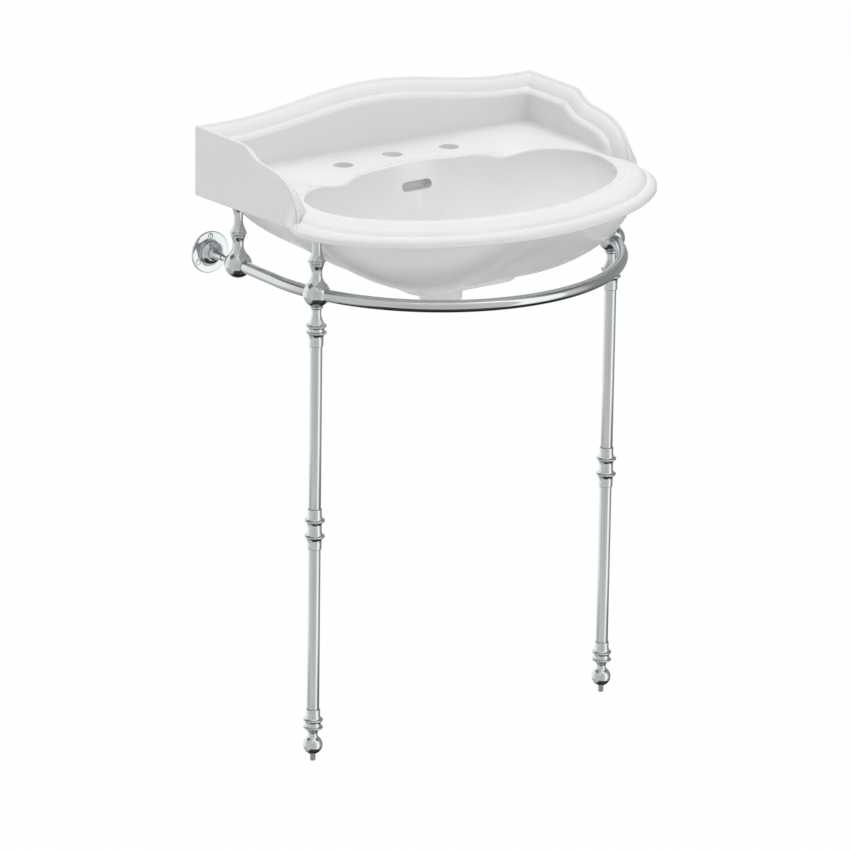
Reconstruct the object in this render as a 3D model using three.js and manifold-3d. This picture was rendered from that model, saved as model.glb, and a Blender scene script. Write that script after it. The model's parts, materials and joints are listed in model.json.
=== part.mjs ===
// Washbasin with a moulded upstand on a chromed tubular stand, in millimetres, +Z up.
// The wall is the plane at the back (+Y), the user stands in front (-Y), the floor is z = 0.

import * as THREE from 'three';
import { mergeVertices } from 'three/addons/utils/BufferGeometryUtils.js';
import Module from 'manifold-3d';

const wasm = await Module();
wasm.setup();

// Driving dimensions of the basin
const halfWidth = 317.5;
const basinDepth = 494;
const deckHeight = 882.7;
const upstandHeight = 74.7;
const crestRise = 27.6;
const crestEndInset = 47.5;
const panelDepth = 275.5;
const panelTaper = 3.5;
const panelDrop = 36.1;
const panelBottomRise = 7;
const rimBulge = 6.9;
const rimStartGap = 9.5;
const rimFullness = 1.87;
const edgeInset = 47.5;
const edgeFrontDistance = 436;
const edgeWidestDistance = 253;
const edgeBackDistance = 120;
const edgeFullness = 1.92;
const edgeFrontDrop = 4.2;
const edgeDropStart = 170;
const edgeDropEnd = 320;
const drainHalfSpacing = 150;
const drainDistance = 157;
const drainDepth = 11;
const drainHalfWidth = 20;
const swellHalfWidth = 76;
const mouldingWidth = 30.7;
const mouldingFall = 29;
const footFillet = 7;
const rimDepth = 32.4;
const beadWidth = 4.2;
const beadRise = 1.5;
const bowlDepth = 135;
const bellyDepth = 151.4;
const bellyBackDistance = 45;
const flatCentreDistance = 290;
const flatHalfWidth = 69.3;
const flatFrontReach = 17.8;
const flatBackReach = 123;
const sideLedge = 38.5;
const frontLedge = 52;
const ledgeTurnLength = 82;
const ledgeTurnGap = 12;
const deckThickness = 15;
const bowlWall = 14;
const webThickness = 13;
const seatRadius = 13;
const seatDrop = 1.5;
const hollowEndInset = 77;
const wasteDistance = 206;
const wasteRadius = 23;
const bossRadius = 34;
const bossDrop = 202;
const bossFillet = 6;
const footLength = 196;
const footWidth = 96;
const footCorner = 34;
const footHeight = 13.1;
const footFrontDistance = 290;

// Driving dimensions of the fittings in the basin
const tapHalfSpacing = 100;
const tapDistance = 84.2;
const middleTapDistance = 73.3;
const tapHoleRadius = 17.2;
const overflowWidth = 55;
const overflowHeight = 17;
const overflowDrop = 33.1;
const slotReach = 40;
const ductWidth = 46;
const ductDepth = 11;
const ductWall = 9;
const ductMouthDrop = 166;

// Driving dimensions of the stand: where its axes stand and its tubes
const frontLegInset = 39.7;
const frontLegBack = 1.5;
const rearLegInset = 26;
const rearLegDistance = 80.7;
const railDrop = 130;
const tubeRadius = 9.525;
const tubeWall = 1.6;
const socketDepth = 11;

// The ball castings at the rail, with the neck above them and the small ring below. All heights
// of the castings, spindles and top collars count from the rail's axis.
const ballRadius = 21.1;
const ballNeckRadius = 8.2;
const ballNeckHeight = 31.9;
const ballNeckTop = 46;
const ballNeckTopRadius = 11.2;
const ballFootHeight = -23.7;
const ballFootRadius = 7.8;
const ballFootRingRadius = 10.1;
const ballFootRingHeight = -19.1;

// The spindles above the ball castings, and the rubber washers on them
const spindleRingHeight = 50.3;
const spindleRingRadius = 13.4;
const spindleSwellRadius = 11.3;
const spindleSwellHeight = 55.1;
const spindleNeckRadius = 7.1;
const spindleNeckHeight = 71.3;
const washerRadius = 10;
const washerThickness = 2.2;

// The collars on the legs: each has two ring mouldings. The lower collars and the feet stand at
// heights from the floor.
const ringRadius = 16;
const ringHalfHeight = 1.7;
const collarRadius = 11;
const bandRadius = 12.9;
const topCollarTop = -24;
const topCollarNeckRadius = 7.4;
const topCollarNeckHeight = -30.7;
const topCollarUpperRing = -50.7;
const topCollarLowerRing = -61.2;
const topCollarBottom = -83.2;
const midCollarTop = 410;
const midCollarUpperRing = 391.3;
const midCollarLowerRing = 365.9;
const midCollarBottom = 345;
const waistHalfHeight = 4;
const footTop = 84.3;
const footUpperRing = 66.7;
const footLowerRing = 54.4;
const footRingRadius = 15.5;
const footNeckRadius = 7.1;
const footNeckHeight = 42.8;
const footBallHeight = 25.5;
const footBallRadius = 15.2;
const footBoreRise = 14;

// Studs inside the castings, and the levelling studs under the feet
const levellingRadius = 4.4;
const levellingLength = 27;
const joiningRadius = 4;
const joiningLength = 26;

// The wall flanges, their nuts, arms and screws
const flangeRadius = 33;
const flangeThickness = 3.6;
const flangeEdgeHeight = 2.4;
const flangeEdgeInset = 1.2;
const domeRadius = 18.8;
const domeTopRadius = 11.4;
const domeHeight = 10.4;
const domePullHeight = 6.9;
const nutRadius = 10.8;
const nutCollarLength = 3.4;
const nutShoulderRadius = 9.9;
const nutLength = 24;
const nutTipWall = 0.6;
const armRadius = 4.2;
const screwHeadRadius = 4.7;
const screwShankRadius = 2.3;
const screwCircleRadius = 25.8;
const screwsPerFlange = 3;

// Clearance between neighbours and the overrun of every cutter
const clearance = 0.3;
const overrun = 4;

// Counts that set the fineness
const backSteps = 8;
const flatSteps = 1;
const shoulderSteps = 3;
const sweepSteps = 5;
const rimSteps = 10;
const turnedSides = 12;
const smallSides = 6;
const tubeSides = 10;
const holeSides = 16;
const arcSteps = 3;
const ringSteps = 3;
const ballSteps = 5;
const frontRailSteps = 16;
const sideRailSteps = 7;

// Places that follow from the driving dimensions
const wallY = basinDepth / 2;
const fromWall = (distance) => wallY - distance;
const cornerHeight = deckHeight + upstandHeight;
const crestHalfSpan = halfWidth - crestEndInset;
const rimHalfWidth = halfWidth + rimBulge;
const edgeHalfWidth = halfWidth - edgeInset;
const frontLegX = halfWidth - frontLegInset;
const rearLegX = halfWidth - rearLegInset;
const railRadius = rearLegX;
const railHeight = deckHeight - railDrop;
const rimBackDistance = panelDepth + rimStartGap;
const frontLegDistance = panelDepth - frontLegBack;
const ledgeTurnEnd = frontLegDistance - ledgeTurnGap;
const ledgeTurnStart = ledgeTurnEnd - ledgeTurnLength;
const tubeFit = tubeRadius + clearance;
const joiningFit = joiningRadius + clearance;

// Colours and finishes of the materials
const glazed = { color: 0xf4f5f4, roughness: 0.12, metalness: 0 };
const chromed = { color: 0xc9ced2, roughness: 0.12, metalness: 1 };
const rubbery = { color: 0x2a2b2c, roughness: 0.85, metalness: 0 };
const steely = { color: 0xa9adb0, roughness: 0.35, metalness: 1 };

const washbasin = new THREE.Group();
washbasin.name = 'washbasin_with_stand';

function addMesh(name, geometry, finish, parent = washbasin) {
  const mesh = new THREE.Mesh(geometry, new THREE.MeshStandardMaterial(finish));
  mesh.name = name;
  parent.add(mesh);
  return mesh;
}

// Solids for cutting and joining

function toSolid(geometry) {
  const bare = geometry.clone();
  bare.deleteAttribute('normal');
  bare.deleteAttribute('uv');
  const merged = mergeVertices(bare);
  const triangles = merged.index.array;
  return new wasm.Manifold(new wasm.Mesh({
    numProp: 3,
    vertProperties: new Float32Array(merged.attributes.position.array),
    triVerts: new Uint32Array(triangles),
  }));
}

function toGeometry(solid) {
  const mesh = solid.getMesh();
  const geometry = new THREE.BufferGeometry();
  geometry.setAttribute('position', new THREE.BufferAttribute(mesh.vertProperties, mesh.numProp));
  geometry.setIndex(new THREE.BufferAttribute(mesh.triVerts, 1));
  geometry.computeVertexNormals();
  return geometry;
}

// A turned solid about Z from a profile of [radius, height] pairs that starts and ends on the axis
// or closes on itself
function turned(profile, sides = turnedSides) {
  const points = profile.map(([radius, height]) => new THREE.Vector2(radius, height));
  return new THREE.LatheGeometry(points, sides).rotateX(Math.PI / 2);
}

function rod(radius, bottom, top, sides = turnedSides) {
  return turned([[0, bottom], [radius, bottom], [radius, top], [0, top]], sides);
}

// Points along an arc of a turned profile, angles in degrees from the outward radius
function profileArc(centreRadius, centreHeight, radius, from, to, steps = arcSteps) {
  return Array.from({ length: steps + 1 }, (_, step) => {
    const angle = THREE.MathUtils.degToRad(from + (to - from) * step / steps);
    return [centreRadius + radius * Math.cos(angle), centreHeight + radius * Math.sin(angle)];
  });
}

// Outlines of the basin in plan. The half outline runs from the back centre to the front centre.

const lerp = THREE.MathUtils.lerp;

// The crest of the back panel rises in one smooth wave to its middle
function crestHeight(x) {
  const reach = Math.min(Math.abs(x) / crestHalfSpan, 1);
  return cornerHeight + crestRise * (1 + Math.cos(Math.PI * reach)) / 2;
}

// The top edge of a side panel: level, then a small shoulder, then a sweep down to the rim.
// Shares run along the panel's depth and its height above the deck.
const shoulderStartShares = [0.465, 1];
const shoulderPullShares = [[0.515, 0.99], [0.545, 0.8]];
const shoulderEndShares = [0.62, 0.76];
const sweepPullShares = [[0.78, 0.69], [0.975, 0.68]];
const sweepEndShares = [1, -0.2];

function sidePoint([alongShare, upShare]) {
  return new THREE.Vector2(panelDepth * alongShare, deckHeight + upstandHeight * upShare);
}

function sideStations() {
  const start = new THREE.Vector2(0, cornerHeight);
  const shoulderStart = sidePoint(shoulderStartShares);
  const shoulderEnd = sidePoint(shoulderEndShares);
  const flat = new THREE.LineCurve(start, shoulderStart);
  const shoulder = new THREE.CubicBezierCurve(
    shoulderStart, ...shoulderPullShares.map(sidePoint), shoulderEnd);
  const sweep = new THREE.CubicBezierCurve(
    shoulderEnd, ...sweepPullShares.map(sidePoint), sidePoint(sweepEndShares));
  const stations = [];
  for (const [curve, steps] of [[flat, flatSteps], [shoulder, shoulderSteps], [sweep, sweepSteps]]) {
    for (let step = 1; step <= steps; step++) {
      const tangent = curve.getTangentAt(step / steps);
      stations.push({ point: curve.getPointAt(step / steps), tangent });
    }
  }
  return stations;
}

// The edge of the bowl behind its widest line: a shallow centre arch, then a rounded lobe at each
// side that starts at the soap drain. Shares run along the half width and the depth of this half.
const archPullShares = [[0.2, 0], [0.41, 0.2]];
const lobePullShares = [[0.72, 0.3], [1, 0.5]];

function edgeBackPoint([acrossShare, downShare]) {
  return new THREE.Vector2(
    edgeHalfWidth * acrossShare,
    lerp(edgeBackDistance, edgeWidestDistance, downShare));
}

const drainPoint = new THREE.Vector2(drainHalfSpacing, drainDistance);
const archCurve = new THREE.CubicBezierCurve(
  new THREE.Vector2(0, edgeBackDistance), ...archPullShares.map(edgeBackPoint), drainPoint);
const lobeCurve = new THREE.CubicBezierCurve(
  drainPoint, ...lobePullShares.map(edgeBackPoint),
  new THREE.Vector2(edgeHalfWidth, edgeWidestDistance));

// Share of the half outline at which the bowl's edge passes the soap drain
const drainStationShare = 0.36;

function edgeBehind(share) {
  if (share < drainStationShare) return archCurve.getPointAt(share / drainStationShare);
  return lobeCurve.getPointAt((share - drainStationShare) / (1 - drainStationShare));
}

function fullCurve(angle, halfAcross, halfDown, backDistance, fullness) {
  return new THREE.Vector2(
    halfAcross * Math.cos(angle) ** (2 / fullness),
    backDistance + halfDown * Math.sin(angle) ** (2 / fullness));
}

// Towards the corners the way inwards from the back turns step by step to the mitre
const mitreStartShare = 0.7;

// One station holds the outline point, the bowl's edge, the way inwards, and on the panels the
// height of the top edge with the direction in which the moulding falls from it
function halfStations() {
  const stations = [];
  const side = sideStations();
  const behindCount = backSteps + side.length;
  for (let step = 0; step <= backSteps; step++) {
    const x = halfWidth * step / backSteps;
    stations.push({
      outer: new THREE.Vector2(x, 0),
      inward: new THREE.Vector2(
        -Math.max(step / backSteps - mitreStartShare, 0) / (1 - mitreStartShare), 1),
      edge: edgeBehind(step / behindCount),
      top: crestHeight(x),
      fall: new THREE.Vector2(0, -1),
      panel: true,
    });
  }
  side.forEach(({ point, tangent }, index) => {
    stations.push({
      outer: new THREE.Vector2(halfWidth - panelTaper * point.x / panelDepth, point.x),
      inward: new THREE.Vector2(-1, 0),
      edge: edgeBehind((backSteps + 1 + index) / behindCount),
      top: point.y,
      fall: new THREE.Vector2(tangent.y, -tangent.x),
      panel: true,
    });
  });
  for (let step = 0; step <= rimSteps; step++) {
    const angle = (step / rimSteps) * Math.PI / 2;
    stations.push({
      outer: fullCurve(angle, rimHalfWidth, basinDepth - rimBackDistance, rimBackDistance, rimFullness),
      edge: fullCurve(
        angle, edgeHalfWidth, edgeFrontDistance - edgeWidestDistance, edgeWidestDistance, edgeFullness),
      panel: false,
    });
  }
  return stations;
}

const half = halfStations();
const mirrored = half.slice(1, -1).reverse();

// Section of the upstand from its outer face over the moulding to its foot, as shares of the
// moulding's width and fall
const mouldingShares = [
  [0, 0.08], [0.05, 0], [0.17, 0.02], [0.205, 0.14], [0.42, 0.235],
  [0.61, 0.43], [0.72, 0.66], [0.9, 0.715], [1, 0.9],
];
const footFilletShares = [[0, 1], [0.27, 0.27], [1, 0]];

// Section of the front rim, point for point beside the upstand's: shares of the way in from the
// outline to the bowl's edge, and of the rim's depth below the deck
const rimBottomShares = [0.03, 1];
const rimRollShares = [0, 0.864];
const rimShares = [
  [0, 0.74], [0.02, 0.627], [0.07, 0.534], [0.15, 0.488], [0.235, 0.506],
  [0.265, 0.444], [0.33, 0.296], [0.45, 0.198], [0.7, 0.13],
];
const rimLandingShares = [[0.895, 0.105], [0.905, 0.102], [0.915, 0.1]];
const panelFootShare = 0.1;

// Section of the bead round the bowl, as shares of its width outwards and its rise
const beadShares = [[1, 0.33], [0.52, 1], [0, 0.8]];

// Depth shares of the rings of the bowl and the belly, and how full their curves are
const bowlShares = [0.06, 0.2, 0.38, 0.58, 0.78, 0.93, 1];
const bellyShares = [0, 0.13, 0.32, 0.54, 0.76, 0.92, 1];
const hollowShares = [0, 0.3, 0.65, 1.1];
const bowlMiddleFullnessShare = 0.87;
const bowlBackFullnessShare = 1.4;
const bowlFrontFullnessShare = 1.75;
const bellySideFullnessShare = 1.809;
const bellyBackFullnessShare = 1.073;
const bellyFrontFullnessShare = 0.966;
const rimLedgeStartShare = 1.08;
const rimLedgeEndShare = 0.208;

const smooth = THREE.MathUtils.smoothstep;
const wastePoint = new THREE.Vector2(0, wasteDistance);

// How far a ring has closed in on the waste at a share of the depth
function closing(depthShare, fullness) {
  return 1 - (1 - depthShare ** fullness) ** (1 / fullness);
}

function awayFromWaste(station) {
  return station.edge.clone().sub(wastePoint).normalize();
}

// Height of the bowl's edge: it dips at the soap drains and runs a little lower in front
function edgeHeight(station) {
  const reach = (Math.abs(station.edge.x) - drainHalfSpacing) / drainHalfWidth;
  const dip = station.panel ? drainDepth * Math.exp(-reach * reach) : 0;
  return deckHeight - dip - edgeFrontDrop * smooth(station.edge.y, edgeDropStart, edgeDropEnd);
}

// Height of the bottom edge: it rises a little along the side panels and stays level round the rim
function bottomHeight(station) {
  if (!station.panel) return deckHeight - rimDepth;
  return deckHeight - panelDrop + panelBottomRise * station.outer.y / panelDepth;
}

function panelPlace(station, inset, fall = 0) {
  return new THREE.Vector2(
    station.outer.x + station.inward.x * inset,
    station.outer.y + station.inward.y * inset + station.fall.x * fall);
}

function rimPlace(station, inwardShare) {
  return station.outer.clone().lerp(station.edge, inwardShare);
}

function roundWaste(station, radius) {
  return wastePoint.clone().add(awayFromWaste(station).multiplyScalar(radius));
}

// A ring of the upstand and rim: both sections side by side, blended where the moulding lands
function mouldingRing(index) {
  const [insetShare, fallShare] = mouldingShares[index];
  const [inwardShare, belowShare] = rimShares[index];
  const rimHeight = deckHeight - rimDepth * belowShare;
  return (station) => {
    if (!station.panel) return { place: rimPlace(station, inwardShare), height: rimHeight };
    const fall = mouldingFall * fallShare;
    return {
      place: panelPlace(station, mouldingWidth * insetShare, fall),
      height: Math.max(station.top + station.fall.y * fall, rimHeight),
    };
  };
}

function footRing(index) {
  const [outShare, riseShare] = footFilletShares[index];
  const [inwardShare, belowShare] = rimLandingShares[index];
  return (station) => {
    if (!station.panel) {
      return { place: rimPlace(station, inwardShare), height: deckHeight - rimDepth * belowShare };
    }
    const room = Math.max(station.top + station.fall.y * mouldingFall - deckHeight, 0);
    return {
      place: panelPlace(station, mouldingWidth + footFillet * outShare, mouldingFall),
      height: deckHeight + Math.min(footFillet * riseShare, room),
    };
  };
}

function beadRing([outShare, riseShare]) {
  return (station) => ({
    place: station.edge.clone().add(awayFromWaste(station).multiplyScalar(beadWidth * outShare)),
    height: edgeHeight(station) + beadRise * riseShare,
  });
}

// The bowl's wall stands steepest at the sides and leans back most at the overflow
function bowlFullness(station) {
  const forward = awayFromWaste(station).y;
  const wall = lerp(bowlBackFullnessShare, bowlFrontFullnessShare, smooth(forward, -1, 0));
  if (!station.panel) return wall;
  return lerp(bowlMiddleFullnessShare, wall, smooth(station.edge.x, 0, swellHalfWidth));
}

function bowlRing(depthShare) {
  return (station) => ({
    place: station.edge.clone().lerp(
      roundWaste(station, wasteRadius), closing(depthShare, bowlFullness(station))),
    height: lerp(edgeHeight(station), deckHeight - bowlDepth, depthShare),
  });
}

function bossRing(radius, drop) {
  return (station) => ({
    place: roundWaste(station, radius),
    height: deckHeight - drop,
  });
}

// The belly starts inside a flat ledge that the stand's uprights meet
function bellyStart(station) {
  if (!station.panel) {
    const forward = smooth(station.edge.y, edgeWidestDistance, edgeFrontDistance);
    return rimPlace(station, lerp(rimLedgeStartShare, rimLedgeEndShare, forward));
  }
  const turn = smooth(station.outer.y, ledgeTurnStart, ledgeTurnEnd);
  const ledge = lerp(sideLedge, frontLedge, turn);
  const acrossShare = 1 - ledge / halfWidth;
  return new THREE.Vector2(station.outer.x * acrossShare, Math.max(station.outer.y, bellyBackDistance));
}

// It closes in on a flat oval that holds the waste's boss and most of the foot pad
const flatCentre = new THREE.Vector2(0, flatCentreDistance);

function bellyRing(depthShare) {
  return (station) => {
    const away = station.edge.clone().sub(flatCentre).normalize();
    const [endFullnessShare, reach] = away.y < 0
      ? [bellyBackFullnessShare, flatBackReach]
      : [bellyFrontFullnessShare, flatFrontReach];
    const fullness = lerp(bellySideFullnessShare, endFullnessShare, away.y ** 2);
    const end = new THREE.Vector2(away.x * flatHalfWidth, flatCentreDistance + away.y * reach);
    return {
      place: bellyStart(station).lerp(end, closing(depthShare, fullness)),
      height: lerp(bottomHeight(station), deckHeight - bellyDepth, depthShare),
    };
  };
}

// The rings of the basin in order, from the outer foot over the top, down the bowl, through the
// waste and back under the belly. Each gives a place in plan and a height at a station.
function basinRings() {
  const foot = (station) => ({
    place: station.panel ? panelPlace(station, 0) : rimPlace(station, rimBottomShares[0]),
    height: bottomHeight(station),
  });
  const roll = (station) => ({
    place: station.panel ? panelPlace(station, 0) : rimPlace(station, rimRollShares[0]),
    height: station.panel
      ? lerp(bottomHeight(station), deckHeight, panelFootShare)
      : deckHeight - rimDepth * rimRollShares[1],
  });
  return [
    foot,
    roll,
    ...mouldingShares.map((_, index) => mouldingRing(index)),
    ...footFilletShares.map((_, index) => footRing(index)),
    ...beadShares.map(beadRing),
    ...bowlShares.map(bowlRing),
    bossRing(wasteRadius, bossDrop),
    bossRing(bossRadius - bossFillet, bossDrop),
    bossRing(bossRadius, bossDrop - bossFillet),
    bossRing(bossRadius, bellyDepth),
    ...[...bellyShares].reverse().map(bellyRing),
  ];
}

// Joins rings that close on themselves in both directions into one skin
function basinShell() {
  const rings = basinRings();
  const around = [
    ...half.map((station) => ({ station, mirror: 1 })),
    ...mirrored.map((station) => ({ station, mirror: -1 })),
  ];
  const positions = rings.flatMap((ringAt) => around.flatMap(({ station, mirror }) => {
    const { place, height } = ringAt(station);
    return [place.x * mirror, fromWall(place.y), height];
  }));
  const count = around.length;
  const index = [];
  for (let ring = 0; ring < rings.length; ring++) {
    const next = (ring + 1) % rings.length;
    for (let step = 0; step < count; step++) {
      const beside = (step + 1) % count;
      const corner = ring * count + step;
      index.push(corner, next * count + beside, ring * count + beside);
      index.push(corner, next * count + step, next * count + beside);
    }
  }
  const geometry = new THREE.BufferGeometry();
  geometry.setAttribute('position', new THREE.Float32BufferAttribute(positions, 3));
  geometry.setIndex(index);
  return geometry;
}

// A closed solid through rings of [x, distance from wall, height] points, listed clockwise seen
// from above, from its highest ring down
function loft(rings) {
  const count = rings[0].length;
  const positions = rings.flat().flatMap(([x, distance, height]) => [x, fromWall(distance), height]);
  const index = [];
  for (let ring = 0; ring < rings.length - 1; ring++) {
    for (let step = 0; step < count; step++) {
      const beside = (step + 1) % count;
      const corner = ring * count + step;
      index.push(corner, ring * count + beside, (ring + 1) * count + beside);
      index.push(corner, (ring + 1) * count + beside, (ring + 1) * count + step);
    }
  }
  const last = (rings.length - 1) * count;
  const flat = rings[0].map(([x, distance]) => new THREE.Vector2(x, fromWall(distance)));
  for (const [a, b, c] of THREE.ShapeUtils.triangulateShape(flat, [])) {
    index.push(a, b, c);
    index.push(last + a, last + c, last + b);
  }
  const geometry = new THREE.BufferGeometry();
  geometry.setAttribute('position', new THREE.Float32BufferAttribute(positions, 3));
  geometry.setIndex(index);
  return geometry;
}

// Under the deck, behind the bowl, the basin is open from below to reach the taps' tails. The
// hollow keeps a wall behind the bowl, a swell round the overflow's duct, and a web at each side.
function tapHollow() {
  const reachable = half.filter((station) => station.panel && station.edge.x < halfWidth - hollowEndInset);
  const across = [
    ...[...reachable].reverse().map((station) => ({ station, mirror: 1 })),
    ...reachable.slice(1).map((station) => ({ station, mirror: -1 })),
  ];
  return loft(hollowShares.map((depthShare) => {
    const height = deckHeight - lerp(deckThickness, bossDrop, depthShare);
    const share = Math.min((deckHeight - height) / bowlDepth, 1);
    const front = across.map(({ station, mirror }) => {
      const { place } = bowlRing(share)(station);
      const duct = place.x < ductWidth ? ductDepth + ductWall * 2 - bowlWall : 0;
      return [place.x * mirror, place.y - bowlWall - Math.max(duct, 0), height];
    });
    const side = front[0][0];
    return [[-side, webThickness, height], [side, webThickness, height], ...front];
  }));
}

// The duct runs from the overflow down behind the bowl's back wall and into the waste's bore
function overflowDuct() {
  const middle = half[0];
  const depths = bowlShares.filter((share) => share * bowlDepth > overflowDrop - overflowHeight);
  const level = (height, nearY, farY) => [
    [-ductWidth / 2, farY, height], [ductWidth / 2, farY, height],
    [ductWidth / 2, nearY, height], [-ductWidth / 2, nearY, height],
  ];
  const rings = depths.map((share) => {
    const { place, height } = bowlRing(share)(middle);
    const near = place.y - ductWall;
    return level(height, near, near - ductDepth);
  });
  const boreBack = wasteDistance - wasteRadius;
  const floor = deckHeight - ductMouthDrop;
  rings.push(level(floor, boreBack + ductWall, boreBack - ductWall - ductDepth));
  return loft(rings);
}

function overflowSlot() {
  const radius = overflowHeight / 2;
  const reach = (overflowWidth - overflowHeight) / 2;
  const outline = new THREE.Shape();
  outline.absarc(reach, 0, radius, -Math.PI / 2, Math.PI / 2, false);
  outline.absarc(-reach, 0, radius, Math.PI / 2, 3 * Math.PI / 2, false);
  const length = ductWall + ductDepth / 2 + slotReach;
  const slot = new THREE.ExtrudeGeometry(
    outline, { depth: length, bevelEnabled: false, curveSegments: arcSteps });
  slot.rotateX(Math.PI / 2);
  const { place } = bowlRing(overflowDrop / bowlDepth)(half[0]);
  return slot.translate(0, fromWall(place.y - ductWall - ductDepth / 2), deckHeight - overflowDrop);
}

// The pad under the belly. It reaches into the waste's boss and stays clear of its bore.
function footPad() {
  const outline = new THREE.Shape();
  const alongX = footLength / 2 - footCorner;
  const alongY = footWidth / 2 - footCorner;
  outline.absarc(alongX, -alongY, footCorner, -Math.PI / 2, 0, false);
  outline.absarc(alongX, alongY, footCorner, 0, Math.PI / 2, false);
  outline.absarc(-alongX, alongY, footCorner, Math.PI / 2, Math.PI, false);
  outline.absarc(-alongX, -alongY, footCorner, Math.PI, 3 * Math.PI / 2, false);
  const thickness = footHeight + bowlWall / 2;
  const pad = new THREE.ExtrudeGeometry(
    outline, { depth: thickness, bevelEnabled: false, curveSegments: arcSteps });
  const bottom = deckHeight - bellyDepth - footHeight;
  pad.translate(0, fromWall(footFrontDistance - footWidth / 2), bottom);
  const room = rod((wasteRadius + bossRadius) / 2, bottom - overrun, bottom + thickness + overrun);
  return toSolid(pad).subtract(toSolid(room.translate(0, fromWall(wasteDistance), 0)));
}

// Where the four uprights of the stand meet the basin
const uprights = [
  { name: 'front_left', x: -frontLegX, distance: frontLegDistance },
  { name: 'front_right', x: frontLegX, distance: frontLegDistance },
  { name: 'rear_left', x: -rearLegX, distance: rearLegDistance },
  { name: 'rear_right', x: rearLegX, distance: rearLegDistance },
];

function seatHeight(distance) {
  const panelLine = deckHeight - panelDrop + panelBottomRise * distance / panelDepth;
  const meetsRim = distance + seatRadius > panelDepth;
  return (meetsRim ? Math.min(panelLine, deckHeight - rimDepth) : panelLine) - seatDrop;
}

function makeBasin() {
  let basin = toSolid(basinShell());
  basin = basin.subtract(toSolid(tapHollow()));
  basin = basin.add(footPad());
  for (const { x, distance } of uprights) {
    const bottom = seatHeight(distance);
    const seat = rod(seatRadius, bottom, bottom + seatDrop + panelBottomRise);
    basin = basin.add(toSolid(seat.translate(x, fromWall(distance), 0)));
  }
  for (const [x, distance] of [
    [-tapHalfSpacing, tapDistance], [0, middleTapDistance], [tapHalfSpacing, tapDistance],
  ]) {
    const hole = rod(tapHoleRadius, deckHeight - deckThickness - overrun, deckHeight + overrun, holeSides);
    basin = basin.subtract(toSolid(hole.translate(x, fromWall(distance), 0)));
  }
  basin = basin.subtract(toSolid(overflowDuct())).subtract(toSolid(overflowSlot()));
  return toGeometry(basin);
}

addMesh('basin', makeBasin(), glazed);

// The stand. Each turned piece is written from its foot up and stands on its own axis. The shares
// say how far a curve's pull lies along it.
const nearShare = 1 / 3;
const middleShare = 1 / 2;
const farShare = 2 / 3;

// Closes an outer profile over the axis, with a blind bore from below or above where asked
function turnedWithBores(outer, below, above, sides = turnedSides) {
  const bottom = outer[0][1];
  const top = outer[outer.length - 1][1];
  const start = below
    ? [[0, below.end], [below.radius, below.end], [below.radius, bottom]]
    : [[0, bottom]];
  const end = above
    ? [[above.radius, top], [above.radius, above.end], [0, above.end]]
    : [[0, top]];
  return turned([...start, ...outer, ...end], sides);
}

function ringMoulding(height, radius) {
  return profileArc(radius - ringHalfHeight, height, ringHalfHeight, -90, 90, ringSteps);
}

// A smooth profile curve between two points, pulled towards a third
function pulled(from, pull, to, steps = arcSteps) {
  const [start, middle, end] = [from, pull, to].map(([x, y]) => new THREE.Vector2(x, y));
  return new THREE.QuadraticBezierCurve(start, middle, end).getPoints(steps).map(({ x, y }) => [x, y]);
}

function hollowTube(bottom, top) {
  return turned([
    [tubeBore, bottom], [tubeRadius, bottom], [tubeRadius, top], [tubeBore, top], [tubeBore, bottom],
  ]);
}

const ballShoulderAngle = 48;
const ballWaistAngle = -62;

function onBall(angle, centreHeight, radius) {
  const turn = THREE.MathUtils.degToRad(angle);
  return [radius * Math.cos(turn), centreHeight + radius * Math.sin(turn)];
}

// A ball casting with its neck. The front ones carry on down to the leg.
function ballCasting(overLeg) {
  const shoulder = onBall(ballShoulderAngle, 0, ballRadius);
  const neck = [
    ...pulled(shoulder, [ballNeckRadius, lerp(shoulder[1], ballNeckHeight, nearShare)],
      [ballNeckRadius, ballNeckHeight]),
    ...pulled([ballNeckRadius, ballNeckHeight],
      [ballNeckRadius, lerp(ballNeckHeight, ballNeckTop, middleShare)],
      [ballNeckTopRadius, ballNeckTop], ringSteps).slice(1),
  ];
  const above = { radius: joiningFit, end: ballNeckTop - joiningLength / 2 - clearance };
  if (!overLeg) {
    const ball = profileArc(0, 0, ballRadius, -90, ballShoulderAngle, ballSteps);
    return turned([
      ...ball.slice(0, -1), ...neck,
      [above.radius, ballNeckTop], [above.radius, above.end], [0, above.end],
    ].map(([radius, height]) => [Math.max(radius, 0), height]));
  }
  const ball = profileArc(0, 0, ballRadius, ballWaistAngle, ballShoulderAngle, ballSteps);
  const foot = [
    [ballFootRadius, ballFootHeight],
    ...pulled([ballFootRadius, ballFootHeight + clearance], [ballFootRingRadius, ballFootHeight + clearance],
      [ballFootRingRadius, ballFootRingHeight], ringSteps).slice(1),
  ];
  const below = { radius: joiningFit, end: ballFootHeight + joiningLength / 2 + clearance };
  return turnedWithBores([...foot, ...ball.slice(0, -1), ...neck], below, above);
}

function spindle(top) {
  const bottom = ballNeckTop + clearance;
  const outer = [
    [spindleSwellRadius, bottom],
    ...ringMoulding(spindleRingHeight, spindleRingRadius),
    ...pulled([spindleSwellRadius, spindleSwellHeight],
      [spindleNeckRadius, lerp(spindleSwellHeight, spindleNeckHeight, nearShare)],
      [spindleNeckRadius, spindleNeckHeight]),
    ...pulled([spindleNeckRadius, lerp(spindleNeckHeight, top, nearShare)],
      [spindleNeckRadius, lerp(spindleNeckHeight, top, farShare)], [washerRadius, top], ringSteps),
  ];
  return turnedWithBores(outer, { radius: joiningFit, end: bottom + joiningLength / 2 + clearance });
}

function joiningStud(jointHeight) {
  return rod(joiningRadius, jointHeight - joiningLength / 2, jointHeight + joiningLength / 2, smallSides);
}

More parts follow.
